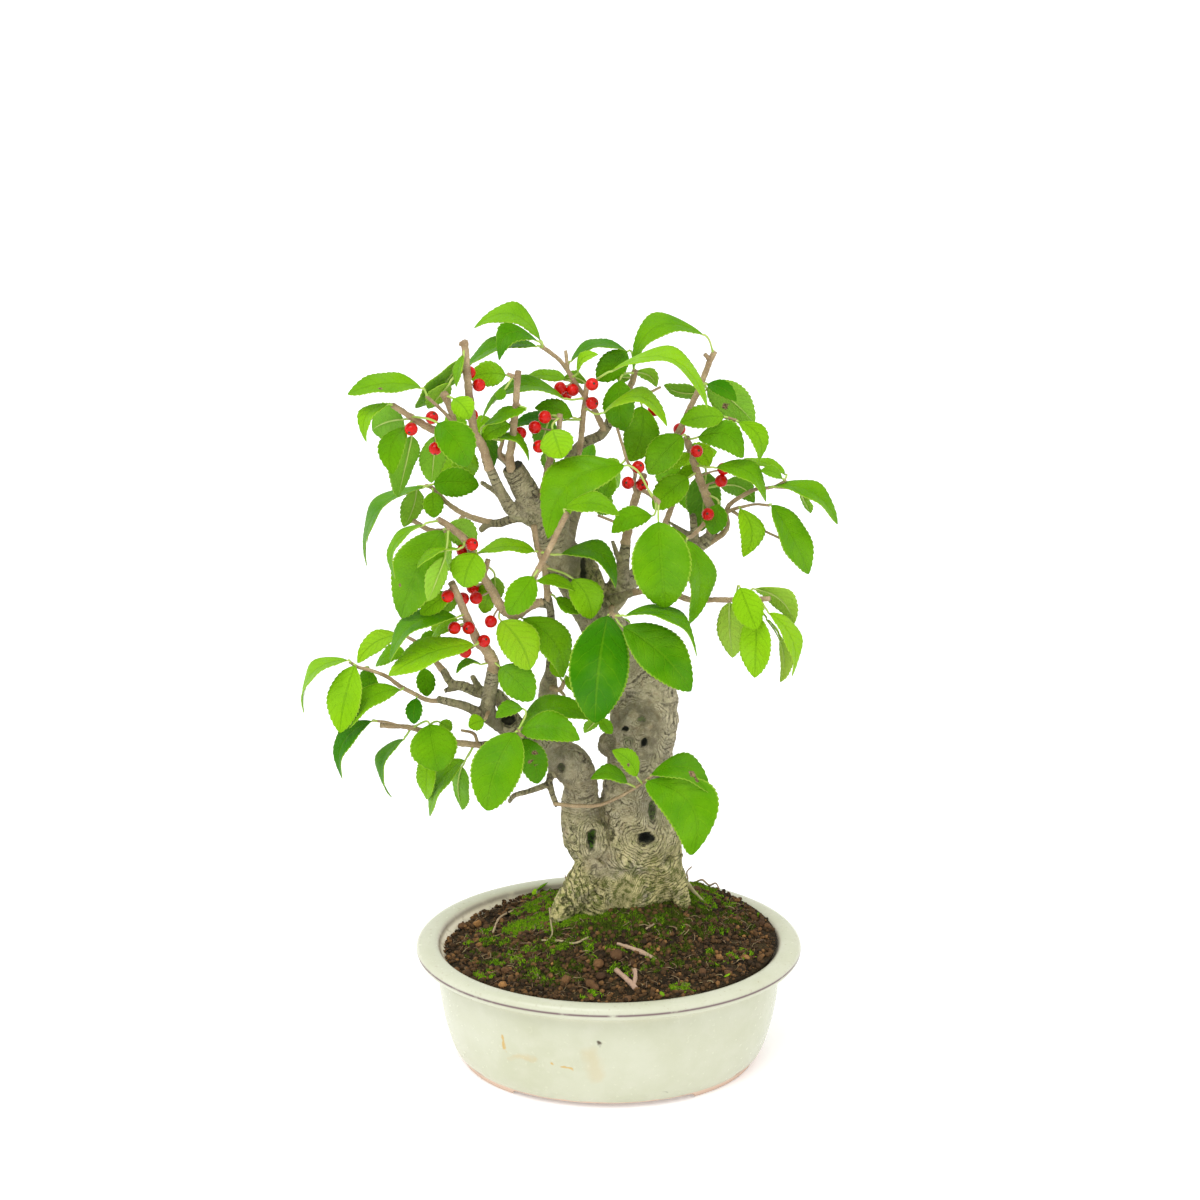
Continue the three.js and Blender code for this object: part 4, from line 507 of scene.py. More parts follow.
      [-7, 238, -20, 227, 10, -2, -14, -2, 1], [-4, 240, 4, 232, 9, -3, -14, 2, 1],
      [-12, 231, -19, 217, 11, -4, -8, 0, 1], [-6, 241, -13, 246, 9, -6, -16, -2, 1],
      [-8, 230, 1, 221, 9, -5, -10, 1, 1],
    ],
    "berries": [],
  },
  "back_right": {
    "wood": [[[18, 210, -30, 1.6], [21, 217, -37, 1.3], [24, 226, -43, 1.1], [28, 238, -50, 0.8]]],
    "leaves": [
      [20, 213, 12, 200, 11, -3, -9, -1, 1], [23, 216, 28, 199, 11, -3, -8, 1, 1],
      [25, 229, 36, 220, 9, -3, -13, 2, 1], [25, 231, 19, 243, 10, -4, -12, 0, 1],
      [28, 240, 40, 246, 9, -3, -12, 2, 1],
    ],
    "berries": [],
  },
  "back_left": {
    "wood": [[[-42.5, 245.5, -16, 1.4], [-49, 249, -27, 1.1], [-55, 250, -36, 0.9], [-60, 248, -43, 0.7]]],
    "leaves": [
      [-58, 250, -56, 262, 9, -2, -10, 0, 1], [-61, 247, -63, 236, 9, -2, -8, 0, 1],
      [-53, 247, -54, 234, 10, -4, -8, 0, 1], [-50, 251, -44, 259, 8, -3, -10, 1, 1],
    ],
    "berries": [],
  },
  "back_low": {
    "wood": [[[10.3, 165.5, -30, 1.6], [8, 171, -39, 1.2], [3, 173, -47, 0.9]]],
    "leaves": [
      [2, 174, -7, 160, 11, -2, -10, -1, 1], [9, 169, 22, 164, 10, -3, -12, 2, 1],
      [6, 168, -1, 149, 11, -3, -4, 0, 1], [3, 177, 8, 166, 8, -8, -16, 0, 1],
    ],
    "berries": [],
  },
}

# How light or yellow a leaf is, where the mottling of its shoot doesn't say it: 0 is deep green, 1 is lime
# and 2 is yellow
TONES = {
    "mid_left": {0: 0.6, 2: 0.42, 3: 1.15, 4: 0.55, 6: 0.45, 9: 1.1},
    "front": {0: 0.02, 1: 0.22, 2: 0.3},
    "centre": {0: 0.45, 3: 0.36},
    "low_front": {0: 0.36, 1: 0.2, 2: 0.33, 3: 0.36},
    "low_left": {2: 0.42, 4: 0.8},
    "right_low": {0: 1.4, 1: 0.9, 2: 0.95, 3: 1.3, 4: 1.1, 5: 1.5},
    "low_right": {0: 0.3, 1: 0.7, 2: 0.3, 3: 0.35},
    "right_middle": {1: 0.35, 2: 0.4},
    "right_upper": {0: 0.4, 10: 0.35},
    "old_left": {0: 1.1},
    "low_left_tip": {0: 0.8},
}

# Brown spots: [place across the blade, place along it, radius]
BLIGHTS = {
    ("low_right", 2): [[-0.3, 0.62, 1.6], [-0.5, 0.72, 1.2]],
    ("top_right", 1): [[0.45, 0.45, 1.4]],
    ("low_front", 1): [[0.3, 0.35, 1.1], [-0.2, 0.5, 0.9], [0.1, 0.62, 0.8]],
    ("low_right", 1): [[0.4, 0.4, 0.8]],
    ("mid_left", 6): [[-0.5, 0.7, 0.8]],
    ("upper_left", 0): [[0.6, 0.55, 0.8]],
}

# The pot's outline from the middle of its underside round the foot, the wall, the lip and down inside:
# [radius, z]
POT_OUTLINE = [
    [0, 2.6], [30, 2.6], [49.6, 2.6], [50.3, 2.2], [50.5, 0.3], [50.9, 0], [56.6, 0], [57.6, 0.3],
    [58.2, 1.8],
    [58.8, 2.7], [60.4, 4.6], [61.4, 6.8], [62.4, 9.8], [63.4, 13.5], [64.4, 17.6], [65.3, 22.5],
    [66.1, 28],
    [66.6, 33.5], [66.9, 38.5], [66.9, 42], [67.2, 43.4], [68, 44], [70.6, 44.3], [73.1, 44.5],
    [74.4, 45.3], [75, 46.6],
    [74.9, 48.1], [74.1, 49.2], [72.6, 49.9], [70.6, 50.2], [68.6, 50.1], [67.2, 49.7], [66.4, 49],
    [65.6, 47.4], [63.8, 45], [62.4, 42], [60.6, 34], [58.6, 24], [56.6, 15], [54.6, 9.2], [52, 7],
    [48, 6.5],
    [28, 6.5], [0, 6.5],
]

# Patches of moss on the soil: [x, y, half width, half depth, share covered]
MOSS_PATCHES = [
    [-29, 8, 13, 6, 1.5], [-15, 1, 13, 5, 1.5], [-27, 25, 12, 8, 1.1], [-3, -3, 14, 5, 0.75],
    [36, 40, 9, 12, 1.1],
    [36, 16, 7, 8, 0.9], [-48, -25, 4.5, 3, 0.75], [-43, -18, 3, 2.5, 0.6], [27, -39, 4, 3, 0.9],
    [32, -43, 3, 2.5, 0.8],
    [-24, -30, 7, 4, 0.4], [-13, -16, 9, 6, 0.45], [42, 0, 6, 5, 0.5], [-6, -44, 5, 3, 0.45],
    [53, -15, 4, 3, 0.6],
    [-30, -16, 14, 8, 0.35], [14, -8, 16, 6, 0.45], [42, -20, 8, 5, 0.3], [8, -26, 16, 8, 0.22],
    [50, 22, 12, 10, 0.4],
    [-45, 5, 12, 10, 0.4], [5, 40, 40, 9, 0.6],
]

# The same for old dark moss
OLD_MOSS_PATCHES = [
    [8, -5, 20, 9, 1.2], [-12, -10, 18, 9, 0.7], [30, 2, 12, 14, 0.8], [-20, -28, 16, 9, 0.6],
    [20, -22, 24, 10, 0.5],
    [46, 10, 12, 14, 0.6], [-44, -6, 12, 12, 0.5],
]

# Larger stones on the soil: [x, y, radius]
STONES = [
    [-39.8, -24, 1.8], [7.1, -47.2, 1.6], [60, 9, 1.9], [50.8, 8.8, 1.8], [-58, 18, 1.8],
    [-7.2, -38.1, 2],
    [-16.3, -35, 2.2], [-4, -27, 2.5], [3, -24, 2.8], [-3, -34, 2], [46, -28, 1.7],
]

# Small round leaves of weeds behind the left root: [x, y, half length, lean]
WEEDS = [
    [-32, 44, 2.4, 0.5], [-27, 45, 3, 0.7], [-38, 43, 2, 0.4], [-30, 41, 1.8, 0.9],
    [-35, 47, 2, 0.3], [-24, 42, 1.7, 0.8],
    [45, -31, 1.3, 0.5], [20, -45, 1.4, 0.4],
]

# Fallen twigs and bare roots: rows of [x, y, height above the soil, radius], and how green the wood is
FALLEN_WOOD = [
    [0.0, [[2.7, -30.4, 1.4, 0.95], [6.5, -36, 1.3, 1.05], [10.2, -41.2, 1.0, 1.1]]],
    [0.0, [[9.3, -40, 1.3, 0.95], [10, -36, 2, 0.8], [9.9, -32.5, 2.6, 0.75]]],
    [0.15, [[3.1, -18.2, 1.2, 0.6], [8.1, -19.9, 0.9, 0.8], [13.8, -22.7, 0.7, 1.0],
      [18, -24.5, 0.3, 0.6]]],
    [0.8, [[-23.1, 9.5, 3, 0.45], [-22.5, 1.2, 1.2, 0.4], [-22, -6.8, 0.8, 0.35],
      [-23.5, -10, 0.4, 0.3]]],
    [0.7, [[-26, -8.5, 0.6, 0.4], [-18.9, -11.7, 0.9, 0.5], [-13, -15.5, 0.7, 0.45],
      [-7.6, -14.5, 0.6, 0.35]]],
    [0.4, [[-45.5, 8, 0.7, 0.5], [-43.1, 19, 1.6, 0.45], [-38, 26.6, 0.9, 0.4]]],
    [0.5, [[14.3, -11.5, 0.8, 0.4], [17.5, -9.6, 1.2, 0.35]]],
    [0.9, [[26, 14, 9, 1.5], [29, 11, 4, 1.7], [29.5, 6.5, 0.2, 1.6]]],
    [1.0, [[28, 20, 7, 1.1], [34, 17, 2, 0.8], [38.3, 13.8, 0.2, 0.5]]],
    [0.3, [[35, 42, 0.4, 0.4], [37.8, 39, 2.2, 0.4], [40.5, 38, 1.0, 0.4], [43, 37, 2.4, 0.35],
      [44.4, 35, 0.6, 0.3]]],
    [0.3, [[30.3, 30, 0.2, 0.4], [31.6, 31, 4, 0.35], [31.2, 31.5, 6.5, 0.3], [33.2, 32, 9.5, 0.25]]],
    [0.3, [[-18, 40, 0.2, 0.35], [-17, 41, 3.5, 0.3], [-17.5, 41, 6.5, 0.22]]],
]


# Materials: helpers


def new_material(name):
    material = bpy.data.materials.new(name)
    material.use_nodes = True
    return material, material.node_tree, material.node_tree.nodes["Principled BSDF"]


def connect(tree, socket, value):
    """Gives an input a number or a colour, or links another node's output to it."""
    if isinstance(value, bpy.types.NodeSocket):
        tree.links.new(value, socket)
    elif socket.type == "RGBA":
        socket.default_value = (*value, 1)
    else:
        socket.default_value = value


def add(tree, kind, inputs=(), **settings):
    """A node with its settings, and its inputs given as (name or index, number, colour or socket)."""
    made = tree.nodes.new(kind)
    for key, value in settings.items():
        setattr(made, key, value)
    for key, value in inputs:
        connect(tree, made.inputs[key], value)
    return made


def math_of(tree, operation, *values):
    return add(tree, "ShaderNodeMath", enumerate(values), operation=operation).outputs[0]


def vector_of(tree, operation, *values):
    return add(tree, "ShaderNodeVectorMath", enumerate(values), operation=operation).outputs["Vector"]


def value_of(tree, operation, *values):
    """A number worked out from two vectors."""
    return add(tree, "ShaderNodeVectorMath", enumerate(values), operation=operation).outputs["Value"]


def scaled(tree, vector, factor):
    inputs = ((0, vector), ("Scale", factor))
    return add(tree, "ShaderNodeVectorMath", inputs, operation="SCALE").outputs["Vector"]


def blend_of(tree, share, first, second):
    """A colour between two others."""
    inputs = ((0, share), (6, first), (7, second))
    return add(tree, "ShaderNodeMix", inputs, data_type="RGBA").outputs[2]


def tinted(tree, colour, mask, strength, tint):
    """A colour drawn towards a tint where a mask says so, and by no more than the strength."""
    return blend_of(tree, math_of(tree, "MULTIPLY", mask, strength), colour, tint)


def between(tree, value, low, high, out_low=0.0, out_high=1.0):
    """The value mapped from one range to another and held inside it."""
    inputs = ((0, value), (1, low), (2, high), (3, out_low), (4, out_high))
    return add(tree, "ShaderNodeMapRange", inputs).outputs[0]


def noise_of(tree, where, scale, detail=3.0, roughness=0.5):
    inputs = (("Vector", where), ("Scale", scale), ("Detail", detail), ("Roughness", roughness))
    return add(tree, "ShaderNodeTexNoise", inputs).outputs["Fac"]


def object_place(tree):
    return add(tree, "ShaderNodeTexCoord").outputs["Object"]


def own_value(tree, name):
    return add(tree, "ShaderNodeAttribute", attribute_name=name).outputs["Fac"]


def dress(tree, shader, colour, roughness, specular=0.5):
    """The colour and the gloss of a surface."""
    connect(tree, shader.inputs["Base Color"], colour)
    connect(tree, shader.inputs["Roughness"], roughness)
    shader.inputs["Specular IOR Level"].default_value = specular


def relief(tree, shader, height, strength, depth):
    """Bump from a height of 0 to 1 that stands for that depth in metres."""
    inputs = (("Strength", strength), ("Distance", depth), ("Height", height))
    tree.links.new(add(tree, "ShaderNodeBump", inputs).outputs[0], shader.inputs["Normal"])


def new_group(name, inputs, outputs):
    group = bpy.data.node_groups.new(name, "ShaderNodeTree")
    for socket_name, kind, value in inputs:
        socket = group.interface.new_socket(socket_name, in_out="INPUT", socket_type=kind)
        if value is not None:
            socket.default_value = value
    for socket_name, kind in outputs:
        group.interface.new_socket(socket_name, in_out="OUTPUT", socket_type=kind)
    return group, group.nodes.new("NodeGroupInput"), group.nodes.new("NodeGroupOutput")


def placed(tree, group, inputs):
    return add(tree, "ShaderNodeGroup", inputs, node_tree=group).outputs


# Materials: shared effects


def vein_group():
    """Midrib, side veins and margin, from a blade's own map: across it and along it."""
    group, given, out = new_group(
        "blade veins",
        (("Map", "NodeSocketVector", None), ("Pairs", "NodeSocketFloat", VEIN_PAIRS)),
        (("Midrib", "NodeSocketFloat"), ("Side veins", "NodeSocketFloat"), ("Margin", "NodeSocketFloat")),
    )
    split = add(group, "ShaderNodeSeparateXYZ", ((0, given.outputs["Map"]),))
    across = math_of(group, "ABSOLUTE", math_of(group, "MULTIPLY_ADD", split.outputs[0], 2.0, -1.0))
    sweep = math_of(group, "MULTIPLY", math_of(group, "POWER", across, VEIN_BEND), VEIN_SWEEP)
    turns = math_of(group, "MULTIPLY", split.outputs[1], given.outputs["Pairs"])
    turns = math_of(group, "SUBTRACT", turns, sweep)
    wobble = noise_of(group, given.outputs["Map"], 6.0, 1.0)
    turns = math_of(group, "ADD", turns, math_of(group, "MULTIPLY", wobble, 0.5))
    wave = math_of(group, "ABSOLUTE", math_of(group, "SINE", math_of(group, "MULTIPLY", turns, math.pi)))
    side = between(group, wave, 0.05, 0.3, 1.0, 0.0)
    side = math_of(group, "MULTIPLY", side, between(group, across, 0.75, 0.98, 1.0, 0.0))
    group.links.new(between(group, across, 0.03, 0.07, 1.0, 0.0), out.inputs["Midrib"])
    group.links.new(side, out.inputs["Side veins"])
    group.links.new(between(group, across, 0.93, 0.99), out.inputs["Margin"])
    return group


def mottle_group():
    """Slow and fast changes of tone over a surface, from 0 to 1."""
    group, given, out = new_group(
        "mottle",
        (("Place", "NodeSocketVector", None), ("Slow", "NodeSocketFloat", 80.0),
         ("Fast", "NodeSocketFloat", 900.0)),
        (("Slow", "NodeSocketFloat"), ("Fast", "NodeSocketFloat")),
    )
    for name in ("Slow", "Fast"):
        tone = noise_of(group, given.outputs["Place"], given.outputs[name])
        group.links.new(between(group, tone, 0.3, 0.7), out.inputs[name])
    return group


def stroke_group():
    """How near a place lies to a straight stroke, from 0 to 1, with a wavering edge."""
    group, given, out = new_group(
        "stroke",
        (("Place", "NodeSocketVector", None), ("Start", "NodeSocketVector", None),
         ("Run", "NodeSocketVector", None), ("Width", "NodeSocketFloat", 0.001)),
        (("Share", "NodeSocketFloat"),),
    )
    where, start, run = (given.outputs[name] for name in ("Place", "Start", "Run"))
    waver = add(group, "ShaderNodeTexNoise", (("Vector", where), ("Scale", 160.0))).outputs["Color"]
    shift = scaled(group, vector_of(group, "ADD", waver, (-0.5, -0.5, -0.5)), 0.006)
    gap = vector_of(group, "SUBTRACT", vector_of(group, "ADD", where, shift), start)
    along = math_of(group, "DIVIDE", value_of(group, "DOT_PRODUCT", gap, run),
                    value_of(group, "DOT_PRODUCT", run, run))
    off = value_of(group, "DISTANCE", gap, scaled(group, run, between(group, along, 0.0, 1.0)))
    near = math_of(group, "DIVIDE", off, given.outputs["Width"])
    group.links.new(between(group, near, 0.3, 1.0, 1.0, 0.0), out.inputs["Share"])
    return group


VEINS = vein_group()
MOTTLE = mottle_group()
STROKE = stroke_group()


def mottled(tree, where, slow, fast):
    return placed(tree, MOTTLE, (("Place", where), ("Slow", slow), ("Fast", fast)))


# Materials: the plant


def blade_colour(tree, where, veins, tones, colours, vein_share):
    deep, lime, yellow, midrib, edge = colours
    tone = math_of(tree, "MULTIPLY_ADD", tones["Slow"], 0.24, own_value(tree, "tone"))
    tone = math_of(tree, "SUBTRACT", tone, 0.12)
    tone = math_of(tree, "MULTIPLY_ADD", veins["Side veins"], vein_share, tone)
    colour = blend_of(tree, between(tree, tone, 0.0, 1.0), deep, lime)
    colour = blend_of(tree, between(tree, tone, 1.0, 2.0), colour, yellow)
    colour = tinted(tree, colour, veins["Midrib"], 0.4, midrib)
    colour = tinted(tree, colour, veins["Margin"], 0.7, edge)
    blight = math_of(tree, "MULTIPLY_ADD", noise_of(tree, where, 700.0), 0.8, own_value(tree, "blight"))
    brown = blend_of(tree, tones["Fast"], (0.035, 0.02, 0.010), (0.36, 0.24, 0.12))
    return blend_of(tree, between(tree, blight, 0.82, 0.95), colour, brown)


def blade_height(tree, where, veins, vein_height):
    """Veins and the fine net between them; a negative vein height sinks the veins."""
    inputs = (("Vector", where), ("Scale", 800.0))
    net = add(tree, "ShaderNodeTexVoronoi", inputs, feature="DISTANCE_TO_EDGE").outputs["Distance"]
    cells = between(tree, net, 0.0, 0.25)
    lines = math_of(tree, "MAXIMUM", veins["Midrib"], math_of(tree, "MULTIPLY", veins["Side veins"], 0.6))
    return math_of(tree, "MULTIPLY_ADD", lines, vein_height, math_of(tree, "MULTIPLY", cells, 0.4))


def leaf_material(name, colours, roughness, vein_share, vein_height):
    material, tree, shader = new_material(name)
    where = object_place(tree)
    blade = add(tree, "ShaderNodeUVMap", uv_map="blade").outputs[0]
    veins = placed(tree, VEINS, (("Map", blade),))
    tones = mottled(tree, where, 90.0, 1500.0)
    colour = blade_colour(tree, where, veins, tones, colours, vein_share)
    dress(tree, shader, colour, math_of(tree, "MULTIPLY_ADD", tones["Fast"], 0.14, roughness), 0.02)
    satin = between(tree, noise_of(tree, where, 60.0, 1.0), 0.40, 0.65, 0.03, 0.22)
    tree.links.new(satin, shader.inputs["Coat Weight"])
    shader.inputs["Coat Roughness"].default_value = 0.38
    relief(tree, shader, blade_height(tree, where, veins, vein_height), 0.7, 0.0004)
    return material


def satin_material(name, slow, fast, first, second):
    """Two tones with a soft gloss that changes a little, for the petioles and the drain screens."""
    material, tree, shader = new_material(name)
    tones = mottled(tree, object_place(tree), slow, fast)
    colour = blend_of(tree, tones["Slow"], first, second)
    dress(tree, shader, colour, math_of(tree, "MULTIPLY_ADD", tones["Fast"], 0.2, 0.4))
    return material


def twig_material():
    material, tree, shader = new_material("young bark")
    where = object_place(tree)
    tones = mottled(tree, where, 160.0, 1800.0)
    colour = blend_of(tree, tones["Slow"], (0.28, 0.185, 0.09), (0.56, 0.42, 0.235))
    colour = tinted(tree, colour, tones["Fast"], 0.45, (0.13, 0.08, 0.05))
    dots = add(tree, "ShaderNodeTexVoronoi", (("Vector", where), ("Scale", 800.0)))
    warts = between(tree, dots.outputs["Distance"], 0.12, 0.25, 1.0, 0.0)
    dress(tree, shader, tinted(tree, colour, warts, 0.7, (0.50, 0.40, 0.27)), 0.8)
    height = math_of(tree, "ADD", math_of(tree, "MULTIPLY", tones["Fast"], 0.6), warts)
    relief(tree, shader, height, 0.6, 0.0003)
    return material


def berry_material():
    material, tree, shader = new_material("ripe berry skin")
    tones = mottled(tree, object_place(tree), 300.0, 2500.0)
    colour = blend_of(tree, tones["Slow"], (0.42, 0.002, 0.001), (0.68, 0.006, 0.002))
    dress(tree, shader, colour, math_of(tree, "MULTIPLY_ADD", tones["Fast"], 0.08, 0.2), 0.15)
    shader.inputs["Coat Weight"].default_value = 0.25
    shader.inputs["Coat Roughness"].default_value = 0.08
    return material


def stigma_material():
    material, tree, shader = new_material("dry stigma")
    tone = noise_of(tree, object_place(tree), 2500.0)
    dress(tree, shader, blend_of(tree, tone, (0.02, 0.010, 0.006), (0.08, 0.045, 0.02)), 0.8)
    return material


def bark_tone(tree, where, tones):
    """The dry bark before moss, wrinkles and rot."""
    colour = blend_of(tree, tones["Slow"], (0.29, 0.245, 0.165), (0.65, 0.58, 0.40))
    colour = tinted(tree, colour, tones["Fast"], 0.38, (0.17, 0.135, 0.09))
    flecks = between(tree, noise_of(tree, where, 1500.0, 2.0), 0.54, 0.66, 0.0, 0.24)
    colour = blend_of(tree, flecks, colour, (0.80, 0.75, 0.56))
    rust = between(tree, noise_of(tree, where, 190.0, 3.0, 0.7), 0.55, 0.66, 0.0, 0.4)
    colour = blend_of(tree, rust, colour, (0.20, 0.125, 0.065))
    return tinted(tree, colour, own_value(tree, "young"), 0.62, (0.17, 0.145, 0.08))


def bark_moss(tree, where, colour, moss):
    """Pale crust and green moss, where the moss value is high."""
    pale = math_of(tree, "MULTIPLY", moss, between(tree, noise_of(tree, where, 90.0, 3.0, 0.6), 0.32, 0.50))
    colour = tinted(tree, colour, pale, 0.75, (0.64, 0.57, 0.23))
    grown = between(tree, noise_of(tree, where, 420.0, 5.0, 0.8), 0.465, 0.560)
    return tinted(tree, colour, math_of(tree, "MULTIPLY", moss, grown), 0.85, (0.105, 0.135, 0.016))


def bark_grooves(tree, where):
    """Wrinkles that run across a limb and round its scars, broken into patches."""
    lined = own_value(tree, "lined")
    bend = math_of(tree, "MULTIPLY", noise_of(tree, where, 260.0, 5.0, 0.72), 8.0)
    phase = math_of(tree, "MULTIPLY_ADD", own_value(tree, "wrinkle"), math.pi, bend)
    wave = math_of(tree, "ABSOLUTE", math_of(tree, "SINE", phase))
    patchy = math_of(tree, "MULTIPLY_ADD", lined, 0.22, noise_of(tree, where, 150.0))
    coarse = math_of(tree, "MULTIPLY", between(tree, wave, 0.0, 0.36, 1.0, 0.0),
                     between(tree, patchy, 0.44, 0.60))
    closer = math_of(tree, "ABSOLUTE", math_of(tree, "SINE", math_of(tree, "MULTIPLY", phase, 2.7)))
    fine = math_of(tree, "MULTIPLY", between(tree, closer, 0.0, 0.45, 0.6, 0.0),
                   between(tree, noise_of(tree, where, 260.0, 2.0), 0.42, 0.58))
    groove = math_of(tree, "MAXIMUM", coarse, fine)
    return math_of(tree, "MULTIPLY", groove, between(tree, lined, -0.9, -0.1, 0.25, 1.0))


def bark_material():
    material, tree, shader = new_material("old bark")
    where = object_place(tree)
    moss = own_value(tree, "moss")
    tones = mottled(tree, where, 75.0, 900.0)
    groove = bark_grooves(tree, where)
    colour = bark_moss(tree, where, bark_tone(tree, where, tones), moss)
    # Painted shade and moss: the wrinkles are drawn towards near-black, dark brown on bare bark and dark
    # green where it is mossy.
    shade = blend_of(tree, moss, (0.07, 0.05, 0.03), (0.035, 0.045, 0.010))
    colour = tinted(tree, colour, groove, 0.9, shade)
    tufts = math_of(tree, "MULTIPLY", between(tree, noise_of(tree, where, 900.0), 0.40, 0.62),
                    own_value(tree, "mossy"))
    hollow = blend_of(tree, tufts, (0.014, 0.016, 0.009), (0.060, 0.13, 0.008))
    dress(tree, shader, blend_of(tree, own_value(tree, "rot"), colour, hollow), 0.85, 0.25)
    height = math_of(tree, "SUBTRACT", math_of(tree, "MULTIPLY", tones["Fast"], 0.3), groove)
    relief(tree, shader, height, 1.0, 0.0009)
    return material


# Materials: the pot

# Stains on the front of the pot, in millimetres round its middle:
# [start, end, half width, strength, colour]
OCHRE = (0.55, 0.38, 0.14)
SOOT = (0.09, 0.07, 0.045)
STAINS = [
    [(-42, -38.5, 29), (-37.5, -40, 20), 0.65, 1.2, OCHRE],
    [(-27, -44.6, 23.5), (-7.5, -48.5, 16.5), 0.65, 1.2, OCHRE],
    [(-37.5, -40.4, 20), (-29, -44, 22.5), 1.8, 0.35, OCHRE],
    [(-7, -49, 27), (-5, -48, 17), 4.5, 0.25, OCHRE],
    [(-3.2, -49.6, 31.4), (-3.4, -49.6, 30.8), 1.3, 1.6, SOOT],
    [(22, -43.4, 6.8), (22.6, -43, 6.2), 1.3, 1.3, SOOT],
    [(-58, -29, 44.5), (-62, -22, 44.6), 1.6, 0.4, OCHRE],
]


def stained(tree, where, colour):
    for start, end, width, strength, shade in STAINS:
        first = TO_FRAME @ Vector(start)
        run = TO_FRAME @ Vector(end) - first
        inputs = (("Place", where), ("Start", first), ("Run", run), ("Width", width / 1000))
        colour = tinted(tree, colour, placed(tree, STROKE, inputs)["Share"], strength, shade)
    return colour


def masked(tree, name, pattern):
    """A pattern kept to the places where the piece's own value says so."""
    return math_of(tree, "MULTIPLY", own_value(tree, name), pattern)


def glaze_material():
    material, tree, shader = new_material("celadon glaze")
    where = object_place(tree)
    tones = mottled(tree, where, 32.0, 520.0)
    colour = blend_of(tree, tones["Slow"], (0.50, 0.51, 0.365), (0.56, 0.57, 0.44))
    cloud = between(tree, noise_of(tree, where, 120.0, 5.0, 0.7), 0.44, 0.70, 0.0, 0.22)
    colour = blend_of(tree, cloud, colour, (0.66, 0.65, 0.56))
    dirt = masked(tree, "lip", between(tree, noise_of(tree, where, 500.0, 4.0, 0.7), 0.60, 0.70))
    colour = tinted(tree, colour, dirt, 0.55, (0.30, 0.22, 0.11))
    colour = stained(tree, where, colour)
    # Painted light: the top of the inner wall is drawn towards pale cream, lifting the shade that falls
    # inside the rim.
    colour = tinted(tree, colour, own_value(tree, "inside"), 0.8, (0.92, 0.84, 0.64))
    grime = masked(tree, "inside", between(tree, noise_of(tree, where, 170.0, 5.0, 0.75), 0.54, 0.66))
    colour = tinted(tree, colour, grime, 0.5, (0.22, 0.15, 0.06))
    thin = masked(tree, "thin_glaze", between(tree, noise_of(tree, where, 140.0, 4.0, 0.6), 0.22, 0.45))
    colour = blend_of(tree, thin, colour, (0.15, 0.095, 0.10))
    ragged = math_of(tree, "MULTIPLY_ADD", noise_of(tree, where, 120.0), 0.5, own_value(tree, "bare"))
    bare = between(tree, ragged, 0.68, 0.80)
    colour = blend_of(tree, bare, colour, (0.66, 0.49, 0.38))
    gloss = math_of(tree, "MULTIPLY_ADD", tones["Fast"], 0.08, 0.2)
    dress(tree, shader, colour, math_of(tree, "MAXIMUM", gloss, math_of(tree, "MULTIPLY", bare, 0.85)), 0.4)
    relief(tree, shader, math_of(tree, "MULTIPLY", tones["Slow"], 0.6), 0.3, 0.0008)
    return material


def clay_material():
    material, tree, shader = new_material("bare clay")
    tones = mottled(tree, object_place(tree), 60.0, 1200.0)
    colour = blend_of(tree, tones["Slow"], (0.50, 0.36, 0.27), (0.66, 0.52, 0.42))
    dress(tree, shader, tinted(tree, colour, tones["Fast"], 0.4, (0.34, 0.23, 0.17)), 0.9)
    relief(tree, shader, tones["Fast"], 0.5, 0.0003)
    return material


# Materials: what lies on the soil


def earth_material():
    material, tree, shader = new_material("earth")
    tones = mottled(tree, object_place(tree), 150.0, 1100.0)
    share = math_of(tree, "MULTIPLY", tones["Slow"], tones["Fast"])
    dress(tree, shader, blend_of(tree, share, (0.016, 0.011, 0.005), (0.09, 0.06, 0.022)), 0.95, 0.2)
    relief(tree, shader, tones["Fast"], 0.8, 0.0006)
    return material


def grain_material(name, dark, middle, light):
    """Crumbs and stones, each with a tint of its own."""
    material, tree, shader = new_material(name)
    tones = mottled(tree, object_place(tree), 150.0, 1500.0)
    tint = own_value(tree, "tint")
    colour = blend_of(tree, between(tree, tint, 0.0, 0.6), dark, middle)
    colour = blend_of(tree, between(tree, tint, 0.75, 1.0), colour, light)
    dress(tree, shader, tinted(tree, colour, tones["Fast"], 0.5, dark), 0.9, 0.25)
    relief(tree, shader, tones["Fast"], 0.7, 0.0004)
    return material


def moss_material(name, low, tips):
    material, tree, shader = new_material(name)
    tones = mottled(tree, object_place(tree), 150.0, 1500.0)
    colour = blend_of(tree, own_value(tree, "tint"), low, tips)
    dress(tree, shader, tinted(tree, colour, tones["Slow"], 0.45, (0.09, 0.12, 0.01)), 0.9, 0.1)
    relief(tree, shader, tones["Fast"], 0.5, 0.0003)
    return material


def wood_material(name, first, second):
    material, tree, shader = new_material(name)
    tones = mottled(tree, object_place(tree), 250.0, 1800.0)
    colour = blend_of(tree, own_value(tree, "tint"), first, second)
    dress(tree, shader, tinted(tree, colour, tones["Fast"], 0.5, (0.24, 0.15, 0.10)), 0.85)
    relief(tree, shader, tones["Fast"], 0.6, 0.0003)
    return material


